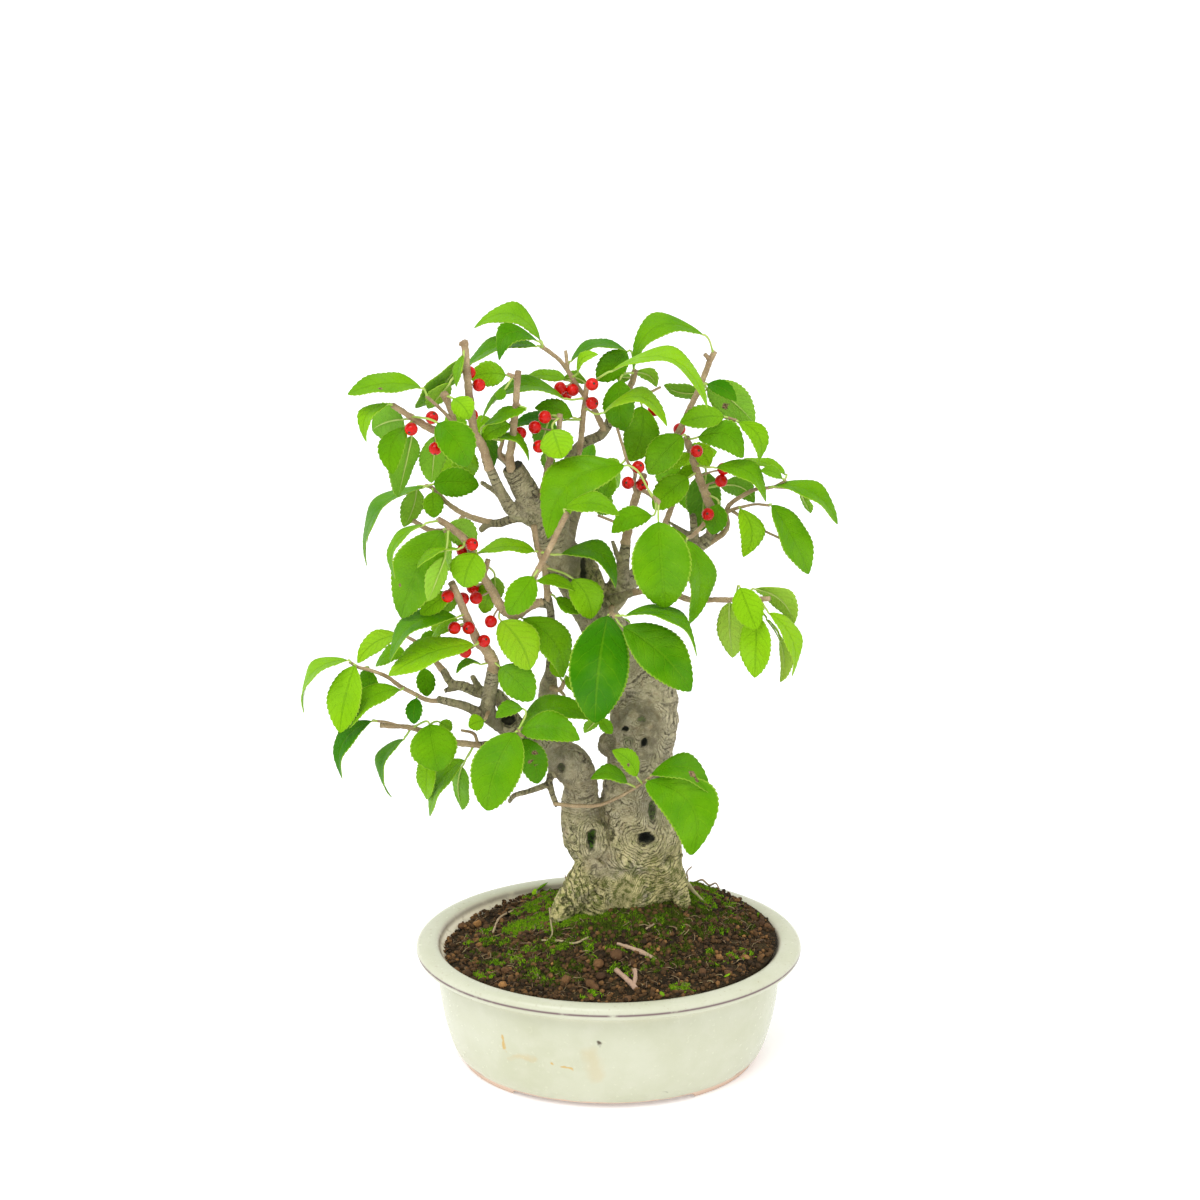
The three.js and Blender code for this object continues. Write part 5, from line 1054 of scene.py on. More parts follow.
UPPER_GREENS = ((0.036, 0.185, 0.0), (0.235, 0.500, 0.006), (0.33, 0.42, 0.02), (0.12, 0.30, 0.004),
                (0.36, 0.55, 0.05))
UNDER_GREENS = ((0.070, 0.25, 0.008), (0.25, 0.50, 0.035), (0.42, 0.54, 0.07), (0.42, 0.58, 0.16),
                (0.34, 0.52, 0.07))
LEAF_UPPER = leaf_material("leaf upper side", UPPER_GREENS, 0.42, 0.09, -0.9)
LEAF_UNDER = leaf_material("leaf underside", UNDER_GREENS, 0.6, 0.2, 0.9)
PETIOLE = satin_material("petiole", 200.0, 2000.0, (0.30, 0.50, 0.05), (0.48, 0.56, 0.14))
YOUNG_BARK = twig_material()
BERRY_SKIN = berry_material()
STIGMA = stigma_material()
OLD_BARK = bark_material()
GLAZE = glaze_material()
BARE_CLAY = clay_material()
SCREEN = satin_material("drain screen plastic", 120.0, 900.0, (0.012, 0.013, 0.014), (0.035, 0.036, 0.034))
EARTH = earth_material()
GRANULES = grain_material("granules", (0.022, 0.014, 0.006), (0.12, 0.062, 0.022), (0.30, 0.15, 0.05))
PEBBLES = grain_material("pebbles", (0.05, 0.026, 0.012), (0.17, 0.085, 0.035), (0.50, 0.25, 0.08))
MOSS = moss_material("fresh moss", (0.055, 0.19, 0.003), (0.34, 0.62, 0.012))
OLD_MOSS = moss_material("old moss", (0.018, 0.035, 0.003), (0.10, 0.15, 0.010))
DEAD_WOOD = wood_material("dead wood", (0.50, 0.33, 0.23), (0.46, 0.42, 0.20))
STRAW = wood_material("dry fibre", (0.17, 0.10, 0.05), (0.42, 0.34, 0.15))

for side in ("left", "right"):
    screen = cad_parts["drain_mesh_" + side]
    screen.data.materials.clear()
    screen.data.materials.append(SCREEN)


# Making and setting down pieces


def mesh_of(bm, name):
    mesh = bpy.data.meshes.new(name)
    bm.to_mesh(mesh)
    bm.free()
    return mesh


def set_down(name, data):
    made = bpy.data.objects.new(name, data)
    bpy.context.scene.collection.objects.link(made)
    return made


def modified(holder):
    """The mesh that an object's modifiers make."""
    graph = bpy.context.evaluated_depsgraph_get()
    return bpy.data.meshes.new_from_object(holder.evaluated_get(graph))


def piece_of(mesh, name, materials, node_names):
    """Sets a finished mesh, in millimetres, into the frame as a piece of the tree."""
    mesh.transform(TO_FRAME)
    for material in materials:
        mesh.materials.append(material)
    mesh.polygons.foreach_set("use_smooth", [True] * len(mesh.polygons))
    mesh.update()
    piece = set_down(name, mesh)
    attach(piece, "root")
    if node_names:
        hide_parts(*node_names)


def piece_from(bm, name, materials, node_names):
    piece_of(mesh_of(bm, name), name, materials, node_names)


def centripetal(points, spans):
    """Points on a smooth curve through the given ones, with that many steps on each span."""
    first = points[0] * 2 - points[1]
    last = points[-1] * 2 - points[-2]
    held = [first, *points, last]
    made = []
    for i, steps in enumerate(spans):
        p0, p1, p2, p3 = held[i:i + 4]
        t1 = max(math.sqrt((p1 - p0).length), 1e-3)
        t2 = t1 + max(math.sqrt((p2 - p1).length), 1e-3)
        t3 = t2 + max(math.sqrt((p3 - p2).length), 1e-3)
        for k in range(steps):
            t = t1 + (t2 - t1) * k / steps
            a1 = p0.lerp(p1, t / t1)
            a2 = p1.lerp(p2, (t - t1) / (t2 - t1))
            a3 = p2.lerp(p3, (t - t2) / (t3 - t2))
            b1 = a1.lerp(a2, t / t2)
            b2 = a2.lerp(a3, (t - t1) / (t3 - t1))
            made.append(b1.lerp(b2, (t - t1) / (t2 - t1)))
    made.append(points[-1].copy())
    return made


def line_through(rows, pitch):
    """(point, radius) along a limb's rows, one about every pitch."""
    points = [place(*row[:3]) for row in rows]
    spans = [max(1, round((b - a).length / pitch)) for a, b in zip(points, points[1:])]
    radii = []
    for first, second, steps in zip(rows, rows[1:], spans):
        radii += [first[3] + (second[3] - first[3]) * (k / steps) for k in range(steps)]
    return list(zip(centripetal(points, spans), [*radii, rows[-1][3]]))


def frames_along(points):
    """Two directions square to a line at each of its points, with as little turn as can be."""
    last = len(points) - 1
    side = Vector((0, 1, 0))
    frames = []
    for i in range(last + 1):
        ahead = (points[min(i + 1, last)] - points[max(i - 1, 0)]).normalized()
        side = side - ahead * side.dot(ahead)
        if side.length < 0.2:
            side = ahead.orthogonal()
        side.normalize()
        frames.append((side, ahead.cross(side)))
    return frames


def faces_of(verts):
    return {face for vert in verts for face in vert.link_faces}


def close_tube(bm, made, material=0):
    """Joins the long seam of a grid that is rolled up, and caps its two ends."""
    faces = faces_of(made)
    for face in faces:
        face.material_index = material
    bmesh.ops.remove_doubles(bm, verts=made, dist=1e-4)
    rims = {edge for face in faces if face.is_valid for edge in face.edges if edge.is_boundary}
    for cap in bmesh.ops.holes_fill(bm, edges=list(rims), sides=0)["faces"]:
        cap.material_index = material


def bent_tube(bm, line, sides, material=0, knobs=0.0):
    """A closed tube round a line of (point, radius): a grid rolled up along it."""
    steps = len(line) - 1
    made = bmesh.ops.create_grid(bm, x_segments=sides, y_segments=steps, size=1)["verts"]
    frames = frames_along([point for point, _ in line])
    for vert in made:
        ring = round((vert.co.y + 1) / 2 * steps)
        angle = (vert.co.x + 1) * math.pi
        point, radius = line[ring]
        first, second = frames[ring]
        outward = first * math.cos(angle) + second * math.sin(angle)
        if knobs:
            radius *= 1 + knobs * noise.noise((point + outward * radius) * KNOB_SCALE)
        vert.co = point + outward * radius
    close_tube(bm, made, material)


# Trunk


def butt_tube(bm):
    """The swollen base of the trunk: rings of an oval with shallow flutes."""
    made = bmesh.ops.create_grid(bm, x_segments=60, y_segments=30, size=1)["verts"]
    levels, *columns = zip(*BUTT_RINGS)
    for vert in made:
        z = levels[0] + (levels[-1] - levels[0]) * (vert.co.y + 1) / 2
        middle, width, depth = (np.interp(z, levels, column) for column in columns)
        angle = (vert.co.x + 1) * math.pi
        flute = 1 + FLUTE_DEPTH * math.cos(FLUTES * angle + 0.6)
        oval = Vector((width * flute * math.cos(angle), depth * flute * math.sin(angle), 0))
        vert.co = place(middle, z, 0) + oval
    close_tube(bm, made)


def rough_trunk():
    """All the grown wood as crossing closed shapes."""
    bm = bmesh.new()
    butt_tube(bm)
    for rows in TRUNK_LIMBS + ROOTS:
        thickest = max(row[3] for row in rows)
        bent_tube(bm, line_through(rows, max(0.8, thickest / 6)), 24 if thickest > 5 else 12)
    for x, z, ahead, radius in BURLS:
        turn = Matrix.Translation(place(x, z, ahead)) @ Matrix.Diagonal((1, 0.7, 1, 1))
        bmesh.ops.create_icosphere(bm, subdivisions=3, radius=radius, matrix=turn)
    return bm


def remeshed(bm, voxel):
    """One closed skin round crossing shapes, as a mesh of even faces."""
    holder = set_down("rough", mesh_of(bm, "rough"))
    wrap = holder.modifiers.new("wrap", "REMESH")
    wrap.mode = "VOXEL"
    wrap.voxel_size = voxel
    even = holder.modifiers.new("even", "SMOOTH")
    even.factor = 0.5
    even.iterations = 3
    done = modified(holder)
    bpy.data.objects.remove(holder)
    return done


def read_rows(items, name):
    """Three numbers from each vertex."""
    flat = np.zeros(len(items) * 3, np.float32)
    items.foreach_get(name, flat)
    return flat.reshape(-1, 3).astype(float)


def set_value(mesh, name, values):
    mesh.attributes.new(name, "FLOAT", "POINT").data.foreach_set("value", values.astype(np.float32))


def limb_segments(limbs):
    """Starts, ends, pairs of radii and the length run before, for each straight part of the limbs."""
    made = []
    for rows in limbs:
        run = 0.0
        line = line_through(rows, 4)
        for (a, a_radius), (b, b_radius) in zip(line, line[1:]):
            made.append([*a, *b, a_radius, b_radius, run])
            run += (b - a).length
    made = np.array(made, float)
    return made[:, :3], made[:, 3:6], made[:, 6:8], made[:, 8]


def nearest_wood(points, limbs):
    """For each point: how far along its limb it lies, and the limb's radius there."""
    starts, ends, radii, runs = limb_segments(limbs)
    spans = ends - starts
    size = (spans ** 2).sum(1)
    along = np.zeros(len(points))
    radius = np.zeros(len(points))
    for first in range(0, len(points), BATCH):
        part = slice(first, first + BATCH)
        gap = points[part, None, :] - starts[None]
        share = np.clip((gap * spans).sum(2) / size, 0, 1)
        off = np.linalg.norm(gap - share[..., None] * spans, axis=2)
        thick = radii[:, 0] + share * (radii[:, 1] - radii[:, 0])
        best = np.argmin(off - thick, axis=1)
        rows = np.arange(len(best))
        along[part] = runs[best] + share[rows, best] * np.sqrt(size[best])
        radius[part] = thick[rows, best]
    return along, radius


def noise_at(points, scale, seed=0.0):
    shift = Vector((seed, seed * 0.7, -seed))
    return np.array([noise.noise(Vector(p) * scale + shift) for p in points])


def seen_from_front(points):
    """x and z of the points, moved along the line of sight on to the upright plane through the trunk."""
    eye = np.array(EYE)
    reach = (TRUNK_Y - eye[1]) / (points[:, 1] - eye[1])
    flat = eye + (points - eye) * reach[:, None]
    return flat[:, 0], flat[:, 2]


def spot_at(seen, x, z, wide, tall, power=2):
    """1 at a place on the trunk's front, falling to 0 beyond that width and height."""
    return np.exp(-(((seen[0] - x) / wide) ** power) - ((seen[1] - z) / tall) ** power)


def wrinkle_count(seen, along, drift):
    """How many wrinkles lie before a point: along the limbs, round the right eye and in arcs at the foot."""
    foot = np.clip((102 - seen[1]) / 14, 0, 1) * np.clip((seen[0] + 2) / 8, 0, 1)
    rings = (np.hypot(seen[0] - 14.5, (seen[1] - 86.5) * 0.85) + 3 * drift) / FOOT_WRINKLE_PITCH
    lower = spot_at(seen, 2, 66, 11, 11)
    arcs = (np.hypot(seen[0] - 1.5, seen[1] - 68) + 2 * drift) / FOOT_WRINKLE_PITCH
    wrinkle = (along + 2.2 * drift) / WRINKLE_PITCH
    wrinkle = wrinkle * (1 - foot) + foot * rings
    return wrinkle * (1 - lower) + lower * arcs


def scarred(seen, front, ragged, wrinkle, lined):
    """Height, wrinkles, how lined the bark is, rot and the moss on it, with every scar set in."""
    height, rot, mossy = np.zeros((3, len(front)))
    for x, z, wide, tall, ring, depth, dark, green in SCARS:
        out = np.hypot((seen[0] - x) / wide, (seen[1] - z) / tall) + 0.35 * ragged
        near = np.exp(-((out / 3.2) ** 2)) * front
        lined = np.maximum(lined, near)
        wrinkle = wrinkle * (1 - near) + near * out * (wide + tall) / 2 / FOOT_WRINKLE_PITCH
        height += front * ring * np.exp(-(((out - 2.2) / 0.9) ** 2))
        height -= front * depth * np.clip(1.2 - out, 0, 1) ** 0.8
        eye = front * np.clip((1.1 - out) * 6, 0, 1)
        rot = np.maximum(rot, dark * eye)
        mossy = np.maximum(mossy, green * eye)
    return height, wrinkle, lined, rot, mossy


def bark_relief(points, radius, wrinkle):
    """Lumps of three sizes and the wrinkles' ripple; on thin wood only the smallest lumps."""
    thick = np.clip((radius - 1.5) / 6, 0, 1)
    height = thick * (0.7 * noise_at(points, 0.16, 3) + 0.4 * noise_at(points, 0.4, 9))
    height += 0.16 * noise_at(points, 1.2, 5) * np.clip(radius, 0.5, 1.3)
    return height + thick * 0.13 * np.sin(2 * math.pi * (wrinkle + 0.4 * noise_at(points, 0.3, 8)))


def rot_beyond_scars(points, normals, crack):
    """The cut top of the trunk and the split bark on it."""
    top = np.linalg.norm(points - np.array(place(*CUT_TOP)), axis=1)
    cut = np.clip((5.2 - top) / 1.5, 0, 0.85) * np.clip(normals[:, 2] * 3 - 1.6, 0, 1)
    return np.maximum(cut, 0.8 * crack * np.clip(2.5 * noise_at(points, 0.7, 6), 0, 1))


def weathered(mesh):
    """Wrinkles, rings round the scars, rotted eyes and moss on the trunk's skin."""
    points = read_rows(mesh.vertices, "co")
    normals = read_rows(mesh.vertex_normals, "vector")
    along, radius = nearest_wood(points, TRUNK_LIMBS)
    seen = seen_from_front(points)
    front = np.clip(-normals[:, 1] * 2.5, 0, 1)
    wrinkle = wrinkle_count(seen, along, noise_at(points, 0.12))
    lined = np.clip((94 - seen[1]) / 20, 0, 1)
    ragged = noise_at(points, 0.5, 4)
    height, wrinkle, lined, rot, mossy = scarred(seen, front, ragged, wrinkle, lined)
    lobe = spot_at(seen, *SMOOTH_LOBE, 4) * front
    crack = spot_at(seen, *CRACK) * front
    rot = np.maximum(rot, rot_beyond_scars(points, normals, crack))
    height += bark_relief(points, radius, wrinkle) + 0.9 * lobe + crack * 0.8 * noise_at(points, 0.9, 2)
    points += normals * height[:, None]
    mesh.vertices.foreach_set("co", points.astype(np.float32).ravel())
    thin = np.clip((4.6 - radius) / 2.4, 0, 1)
    moss = np.clip((106 - points[:, 2]) / 38, 0, 1) + 0.16
    set_value(mesh, "wrinkle", wrinkle)
    set_value(mesh, "rot", rot)
    set_value(mesh, "lined", lined - 1.2 * lobe)
    set_value(mesh, "mossy", mossy)
    set_value(mesh, "young", np.maximum(thin, np.clip((seen[1] - 176) / 20, 0, 0.7)))
    set_value(mesh, "moss", np.clip(moss * (1 - 0.75 * lobe) + crack, 0, 1))
    mesh.update()
    return mesh


piece_of(weathered(remeshed(rough_trunk(), BARK_VOXEL)), "trunk_wood", [OLD_BARK], ["trunk"])


# Leaves


def twig_spans(twigs):
    """Each straight part of the twigs, with the share of it that a leaf may grow from."""
    for rows in twigs:
        for i, (first, second) in enumerate(zip(rows, rows[1:])):
            length = math.dist(first[:3], second[:3])
            least = min(SUNK_LENGTH / length, 1) if rows is twigs[0] and i == 0 else 0
            most = 1 - END_MARGIN / length if i == len(rows) - 2 else 1
            yield first, second, least, most


def twig_point(first, second, share):
    """How far ahead a place on a twig lies, its radius there, and the place."""
    x, z, ahead, radius = (a + share * (b - a) for a, b in zip(first, second))
    return ahead, radius, place(x, z, ahead)


def nearest_on_twigs(x, z, twigs):
    best = (math.inf,)
    for first, second, least, most in twig_spans(twigs):
        gap_x = x - first[0]
        gap_z = z - first[1]
        span_x = second[0] - first[0]
        span_z = second[1] - first[1]
        share = (gap_x * span_x + gap_z * span_z) / (span_x ** 2 + span_z ** 2)
        share = max(least, min(most, share))
        distance = math.hypot(gap_x - share * span_x, gap_z - share * span_z)
        if distance < best[0]:
            best = (distance, *twig_point(first, second, share))
    return best[1:]


def anchor_of(base, direction, twigs):
    """Where a petiole leaves the twig: near the blade's base, with no sharp turn back."""
    best = (math.inf,)
    for first, second, least, most in twig_spans(twigs):
        for step in (0, 0.25, 0.5, 0.75, 1):
            _, radius, point = twig_point(first, second, least + step * (most - least))
            petiole = base - point
            turn = petiole.dot(direction) / petiole.length
            cost = (petiole.length + TURN_LENGTH) * (TURN_COST - turn)
            if cost < best[0]:
                best = (cost, point, radius)
    return best[1:]


def across_blade(direction, to_eye, seen_share, face):
    """Which way the blade faces: turned about the midrib until it looks as wide as it should."""
    level = to_eye.cross(direction).normalized()
    lean = direction.cross(level)
    cosine = min(1, seen_share)
    sine = math.sqrt(1 - cosine * cosine)
    best = None
    for a, b in ((1, 1), (1, -1), (-1, 1), (-1, -1)):
        side = level * a * cosine + lean * b * sine
        normal = direction.cross(side)
        if normal.dot(to_eye) * face >= -1e-6 and (best is None or normal.z > best[1].z):
            best = (side, normal)
    return best


def leaf_shape(row, twigs):
    """A leaf's midrib as three points of a curve, its width, which way it faces, and its length."""
    base_x, base_z, tip_x, tip_z, seen_width, base_out, tip_out, bow, face = row
    ahead, _, _ = nearest_on_twigs(base_x, base_z, twigs)
    base = place(base_x, base_z, ahead + base_out)
    tip = place(tip_x, tip_z, ahead + base_out + tip_out)
    chord = tip - base
    length = chord.length
    direction = chord.normalized()
    to_eye = (EYE - base).normalized()
    width = min(max(seen_width, LEAF_WIDTH_RATIO * length), LARGEST_LEAF_WIDTH)
    side, normal = across_blade(direction, to_eye, seen_width / width, face)
    left = to_eye.cross(direction).normalized()
    bend = (base + tip) / 2 + left * 2 * bow + to_eye * 2 * LEAF_ARCH * length * normal.dot(to_eye)
    return (base, bend, tip), width, side, normal, length


def outline(t, blunt=0.0):
    """Half the width of a blade at a share of its length; a broad leaf has a blunter tip."""
    return math.sin(math.pi * min(t, 1) ** (0.86 + 0.06 * blunt)) ** (0.9 - 0.26 * blunt)


def bezier(a, b, c, t):
    return a * (1 - t) ** 2 + b * 2 * t * (1 - t) + c * t * t


def cubic(a, b, c, d, t):
    return a * (1 - t) ** 3 + b * 3 * t * (1 - t) ** 2 + c * 3 * t * t * (1 - t) + d * t ** 3


def blade_habit(shape, seed):
    """How blunt a blade is, and how it twists, waves and curls."""
    _, width, _, _, length = shape
    blunt = max(0, min(1, (width / length - 0.44) / 0.1))
    twist = 0.8 * noise.noise(Vector((seed, 3.1, 0.4)))
    sway = 6 * noise.noise(Vector((seed, 7.7, 1.9)))
    curl = 0.45 * noise.noise(Vector((seed, 1.7, 6.3)))
    return blunt, twist, sway, curl


def blade_lift(s, t, half, length, sway, curl):
    """How far a blade rises from its midrib: fold, waves, curl, and the puffs between its side veins."""
    edge = abs(s) ** 1.35
    lift = half * LEAF_FOLD * edge
    lift += WAVE_HEIGHT * half * math.sin(6.3 * (1.7 * t + sway) + (1.5 if s > 0 else 0)) * edge
    lift += curl * length * max(0, t - CURL_START) ** 2
    veins = math.sin(math.pi * (VEIN_PAIRS * t - VEIN_SWEEP * abs(s) ** VEIN_BEND / 2)) ** 2
    dip = MIDRIB_DIP * half * math.exp(-((s / 0.1) ** 2))
    return lift + (PUFF_HEIGHT * half * veins * (1 - abs(s) ** 4) - dip)


def blade_point(shape, habit, s, t, tooth):
    """A place on a blade: s across it from -1 to 1, t along it from 0 to 1, and the tooth's share there."""
    midrib, width, side, normal, length = shape
    blunt, twist, sway, curl = habit
    half = width / 2 * outline(t, blunt)
    turn = twist * (t - 0.35)
    out = side * math.cos(turn) + normal * math.sin(turn)
    up = normal * math.cos(turn) - side * math.sin(turn)
    toothed = abs(s) > 0.99 and 0.1 < t < 0.97
    rise = TOOTH_HEIGHT * tooth * min(1, half / 3) if toothed else 0
    ahead = (midrib[2] - midrib[0]).normalized() * (0.35 * rise)
    reach = s * half + math.copysign(rise, s)
    return bezier(*midrib, t) + out * reach + up * blade_lift(s, t, half, length, sway, curl) + ahead


def leaf_blade(bm, shape, tone, seed, blight, layers):
    """A toothed blade: a grid laid along the midrib."""
    _, width, _, _, length = shape
    uv, tone_layer, blight_layer = layers
    habit = blade_habit(shape, seed)
    teeth = max(6, round(length / TOOTH_PITCH))
    columns = 12 if length > 25 else 8
    steps = len(STATIONS) * teeth
    made = bmesh.ops.create_grid(bm, x_segments=columns, y_segments=steps, size=1)["verts"]
    faces = faces_of(made)
    for vert in made:
        tooth, phase = divmod(round((vert.co.y + 1) / 2 * steps), len(STATIONS))
        s = -vert.co.x
        t = min(1, (tooth + STATIONS[phase]) / teeth)
        vert[tone_layer] = tone
        for across, along, size in blight:
            off = math.hypot((s - across) * width / 2, (t - along) * length) / size
            vert[blight_layer] = max(vert[blight_layer], 1 - 0.5 * off)
        for loop in vert.link_loops:
            loop[uv].uv = ((s + 1) / 2, t)
        vert.co = blade_point(shape, habit, s, t, TOOTH_SHARE[phase])
    bmesh.ops.remove_doubles(bm, verts=made, dist=1e-3)
    return [face for face in faces if face.is_valid]


def petiole_line(anchor, radius, shape):
    """From inside the twig to the blade's base and on under its midrib."""
    (base, bend, tip), width, _, normal, _ = shape
    straight = base - anchor
    reach = straight.length
    handle = base - (bend - base).normalized() * reach * 0.4
    first = anchor + straight.normalized() * reach * 0.35
    steps = max(4, round(reach / 1.2))
    line = []
    for k in range(steps):
        t = k / steps
        thick = max(0.42, min(radius, 0.75) * (1 - 2 * t))
        line.append((cubic(anchor, first, handle, base, t), thick))
    for k in range(9):
        t = 0.8 * k / 8
        thick = 0.32 * (1 - t) + 0.05
        depth = LEAF_THICKNESS + thick + MIDRIB_DIP * width / 2 * outline(t)
        line.append((bezier(base, bend, tip, t) - normal * depth, thick))
    return line


# Berries and buds


def set_along(bm, verts, point, axis):
    """Turns a small shape's own z on to the axis and moves it to the point."""
    turn = axis.to_track_quat("Z", "Y").to_matrix().to_4x4()
    bmesh.ops.transform(bm, matrix=Matrix.Translation(point) @ turn, verts=verts)


def berry(bm, row, twigs):
    """A ball with a dent at its stalk and a stigma at its tip, on a short bent stalk."""
    x, z, out = row
    ahead, _, root = nearest_on_twigs(x, z, twigs)
    centre = place(x, z, ahead + out)
    axis = (centre - root).normalized()
    made = bmesh.ops.create_uvsphere(bm, u_segments=24, v_segments=16, radius=1)["verts"]
    for vert in made:
        dent = 0.1 * math.exp(-((vert.co.z + 1) / 0.08))
        tip = 0.035 * math.exp(-((vert.co.z - 1) / 0.03) ** 2)
        vert.co *= BERRY_RADIUS * (1 - dent + tip)
    for face in faces_of(made):
        at_tip = face.calc_center_median().z > 0.975 * BERRY_RADIUS
        face.material_index = STIGMA_SLOT if at_tip else SKIN_SLOT
    set_along(bm, made, centre, axis)
    side = axis.orthogonal() * 0.5
    bends = [root.lerp(centre, 0.3) + side * 0.6, root.lerp(centre, 0.6) + side * 0.5]
    points = centripetal([root, *bends, centre - axis * BERRY_RADIUS * 0.8], [3, 3, 3])
    bent_tube(bm, [(point, STALK_RADIUS) for point in points], 6, BARK_SLOT)


def bud(bm, point, direction, radius):
    """A small pointed bud in the corner between a petiole and its twig."""
    made = bmesh.ops.create_icosphere(bm, subdivisions=2, radius=1)["verts"]
    for vert in made:
        x, y, z = vert.co
        taper = 1 - 0.45 * max(0, z)
        vert.co = Vector((x * 0.7 * taper, y * 0.7 * taper, z * 1.1 + 0.5)) * radius
    for face in faces_of(made):
        face.material_index = BARK_SLOT
    set_along(bm, made, point, direction)


# Shoots

SHOOT_MATERIALS = [LEAF_UPPER, LEAF_UNDER, PETIOLE, YOUNG_BARK, BERRY_SKIN, STIGMA]
UNDER_SLOT, PETIOLE_SLOT, BARK_SLOT, SKIN_SLOT, STIGMA_SLOT = range(1, len(SHOOT_MATERIALS))


def grow_blades(bm, name, shapes, number):
    layers = (bm.loops.layers.uv.new("blade"), bm.verts.layers.float.new("tone"),
              bm.verts.layers.float.new("blight"))
    tones = TONES.get(name, {})
    blades = []
    for k, shape in enumerate(shapes):
        seed = 13.7 * number + 2.9 * k
        tone = tones.get(k, 0.6 + noise.noise(Vector((seed, 0.3, 5.2))))
        blades += leaf_blade(bm, shape, tone, seed, BLIGHTS.get((name, k), []), layers)
    under = bmesh.ops.solidify(bm, geom=blades, thickness=LEAF_THICKNESS)["geom"]
    for face in under:
        if isinstance(face, bmesh.types.BMFace):
            face.material_index = UNDER_SLOT


def grow_petioles(bm, shapes, twigs):
    """A petiole to each blade, and a bud above it."""
    for shape in shapes:
        base, bend, _ = shape[0]
        anchor, radius = anchor_of(base, (bend - base).normalized(), twigs)
        bent_tube(bm, petiole_line(anchor, radius, shape), 6, PETIOLE_SLOT)
        direction = (base - anchor).normalized().lerp(Vector((0, 0, 1)), 0.3).normalized()
        bud(bm, anchor, direction, radius * 0.9 + 0.25)


def grown_shoot(name, shoot, number):
    """One leafy shoot as one piece."""
    twigs = shoot["wood"]
    shapes = [leaf_shape(row, twigs) for row in shoot["leaves"]]
    bm = bmesh.new()
    grow_blades(bm, name, shapes, number)
    grow_petioles(bm, shapes, twigs)
    for rows in twigs:
        thickest = max(row[3] for row in rows)
        bent_tube(bm, line_through(rows, 0.8), 12 if thickest > 1 else 8, BARK_SLOT, 0.22)
    for row in shoot["berries"]:
        berry(bm, row, twigs)
    piece_from(bm, "shoot_" + name + "_grown", SHOOT_MATERIALS, ["shoot_" + name])


for number, (name, shoot) in enumerate(SHOOTS.items()):
    grown_shoot(name, shoot, number)


# Pot


def smooth_profile(rows):
    """The outline with close steps on the lip and wider ones elsewhere."""
    points = [Vector((r, 0, z)) for r, z in rows]
    spans = []
    for a, b in zip(points, points[1:]):
        pitch = 0.4 if min(a.z, b.z) > LIP_FOOT else 2
        spans.append(max(1, round((b - a).length / pitch)))
    return centripetal(points, spans)


def spun_oval(points, steps):
    """An oval shell: the profile spun about the upright axis and narrowed from front to back."""
    bm = bmesh.new()
    verts = [bm.verts.new((max(0.0, p.x), 0, max(0.0, p.z))) for p in points]
    edges = [bm.edges.new(pair) for pair in zip(verts, verts[1:])]
    bmesh.ops.spin(bm, geom=verts + edges, cent=(0, 0, 0), axis=(0, 0, 1), angle=2 * math.pi, steps=steps,
                   use_merge=True)
    bmesh.ops.remove_doubles(bm, verts=bm.verts, dist=1e-3)
    bmesh.ops.scale(bm, vec=(1, POT_DEPTH_RATIO, 1), verts=bm.verts)
    bmesh.ops.recalc_face_normals(bm, faces=bm.faces)
    return bm


def cut_away(bm, cutters):
    """The mesh with closed shapes cut out of it."""
    holder = set_down("blank", mesh_of(bm, "blank"))
    tools = [set_down("cutter", mesh_of(cutter, "cutter")) for cutter in cutters]
    for tool in tools:
        step = holder.modifiers.new("cut", "BOOLEAN")
        step.operation = "DIFFERENCE"
        step.solver = "EXACT"
        step.object = tool
    done = modified(holder)
    for thing in [holder, *tools]:
        bpy.data.objects.remove(thing)
    return done


def drain_cutter(x):
    bm = bmesh.new()
    bmesh.ops.create_cone(bm, cap_ends=True, segments=40, radius1=DRAIN_HOLE_RADIUS,
                          radius2=DRAIN_HOLE_RADIUS, depth=20, matrix=Matrix.Translation((x, 0, 5)))
    return bm


def foot_cutter():
    """The shallow opening through the front and the back of the foot ring, with rounded shoulders."""
    bm = bmesh.new()
    block = Matrix.Translation((-2, 0, 0)) @ Matrix.Diagonal((70, 130, 4.4, 1))
    bmesh.ops.create_cube(bm, size=1, matrix=block)
    top = [edge for edge in bm.edges if all(vert.co.z > 1 for vert in edge.verts)]
    shoulders = [edge for edge in top if abs(edge.verts[0].co.x - edge.verts[1].co.x) < 1]
    bmesh.ops.bevel(bm, geom=shoulders, offset=2, affect="EDGES", segments=6, profile=0.5, material=-1)
    return bm


def oval_pot():
    cutters = [drain_cutter(-DRAIN_HOLE_X), drain_cutter(DRAIN_HOLE_X), foot_cutter()]
    body = cut_away(spun_oval(smooth_profile(POT_OUTLINE), SPIN_STEPS), cutters)
    points = read_rows(body.vertices, "co")
    level = points[:, 2]
    reach = np.hypot(points[:, 0], points[:, 1] / POT_DEPTH_RATIO)
    outer = np.exp(-(((reach - 75) / 0.9) ** 2 + ((level - 47.2) / 0.42) ** 2))
    inner = np.exp(-(((reach - 66.2) / 1.0) ** 2 + ((level - 48.6) / 1.4) ** 2))
    set_value(body, "thin_glaze", np.clip(outer * 1.25 + 0.5 * inner, 0, 1))
    set_value(body, "bare", np.clip((3.9 - level) / 2.4, 0, 1))
    set_value(body, "lip", np.clip(1 - np.abs(level - 49) / 3, 0, 1))
    # inside: the top of the inner wall, where the glaze gets painted light and grime
    set_value(body, "inside", np.clip((67.5 - reach) / 2, 0, 1) * np.clip((level - 40) / 3, 0, 1))
    for face in body.polygons:
        face.material_index = 1 if face.center.z < 6.4 and face.normal.z < -0.6 else 0
    return body


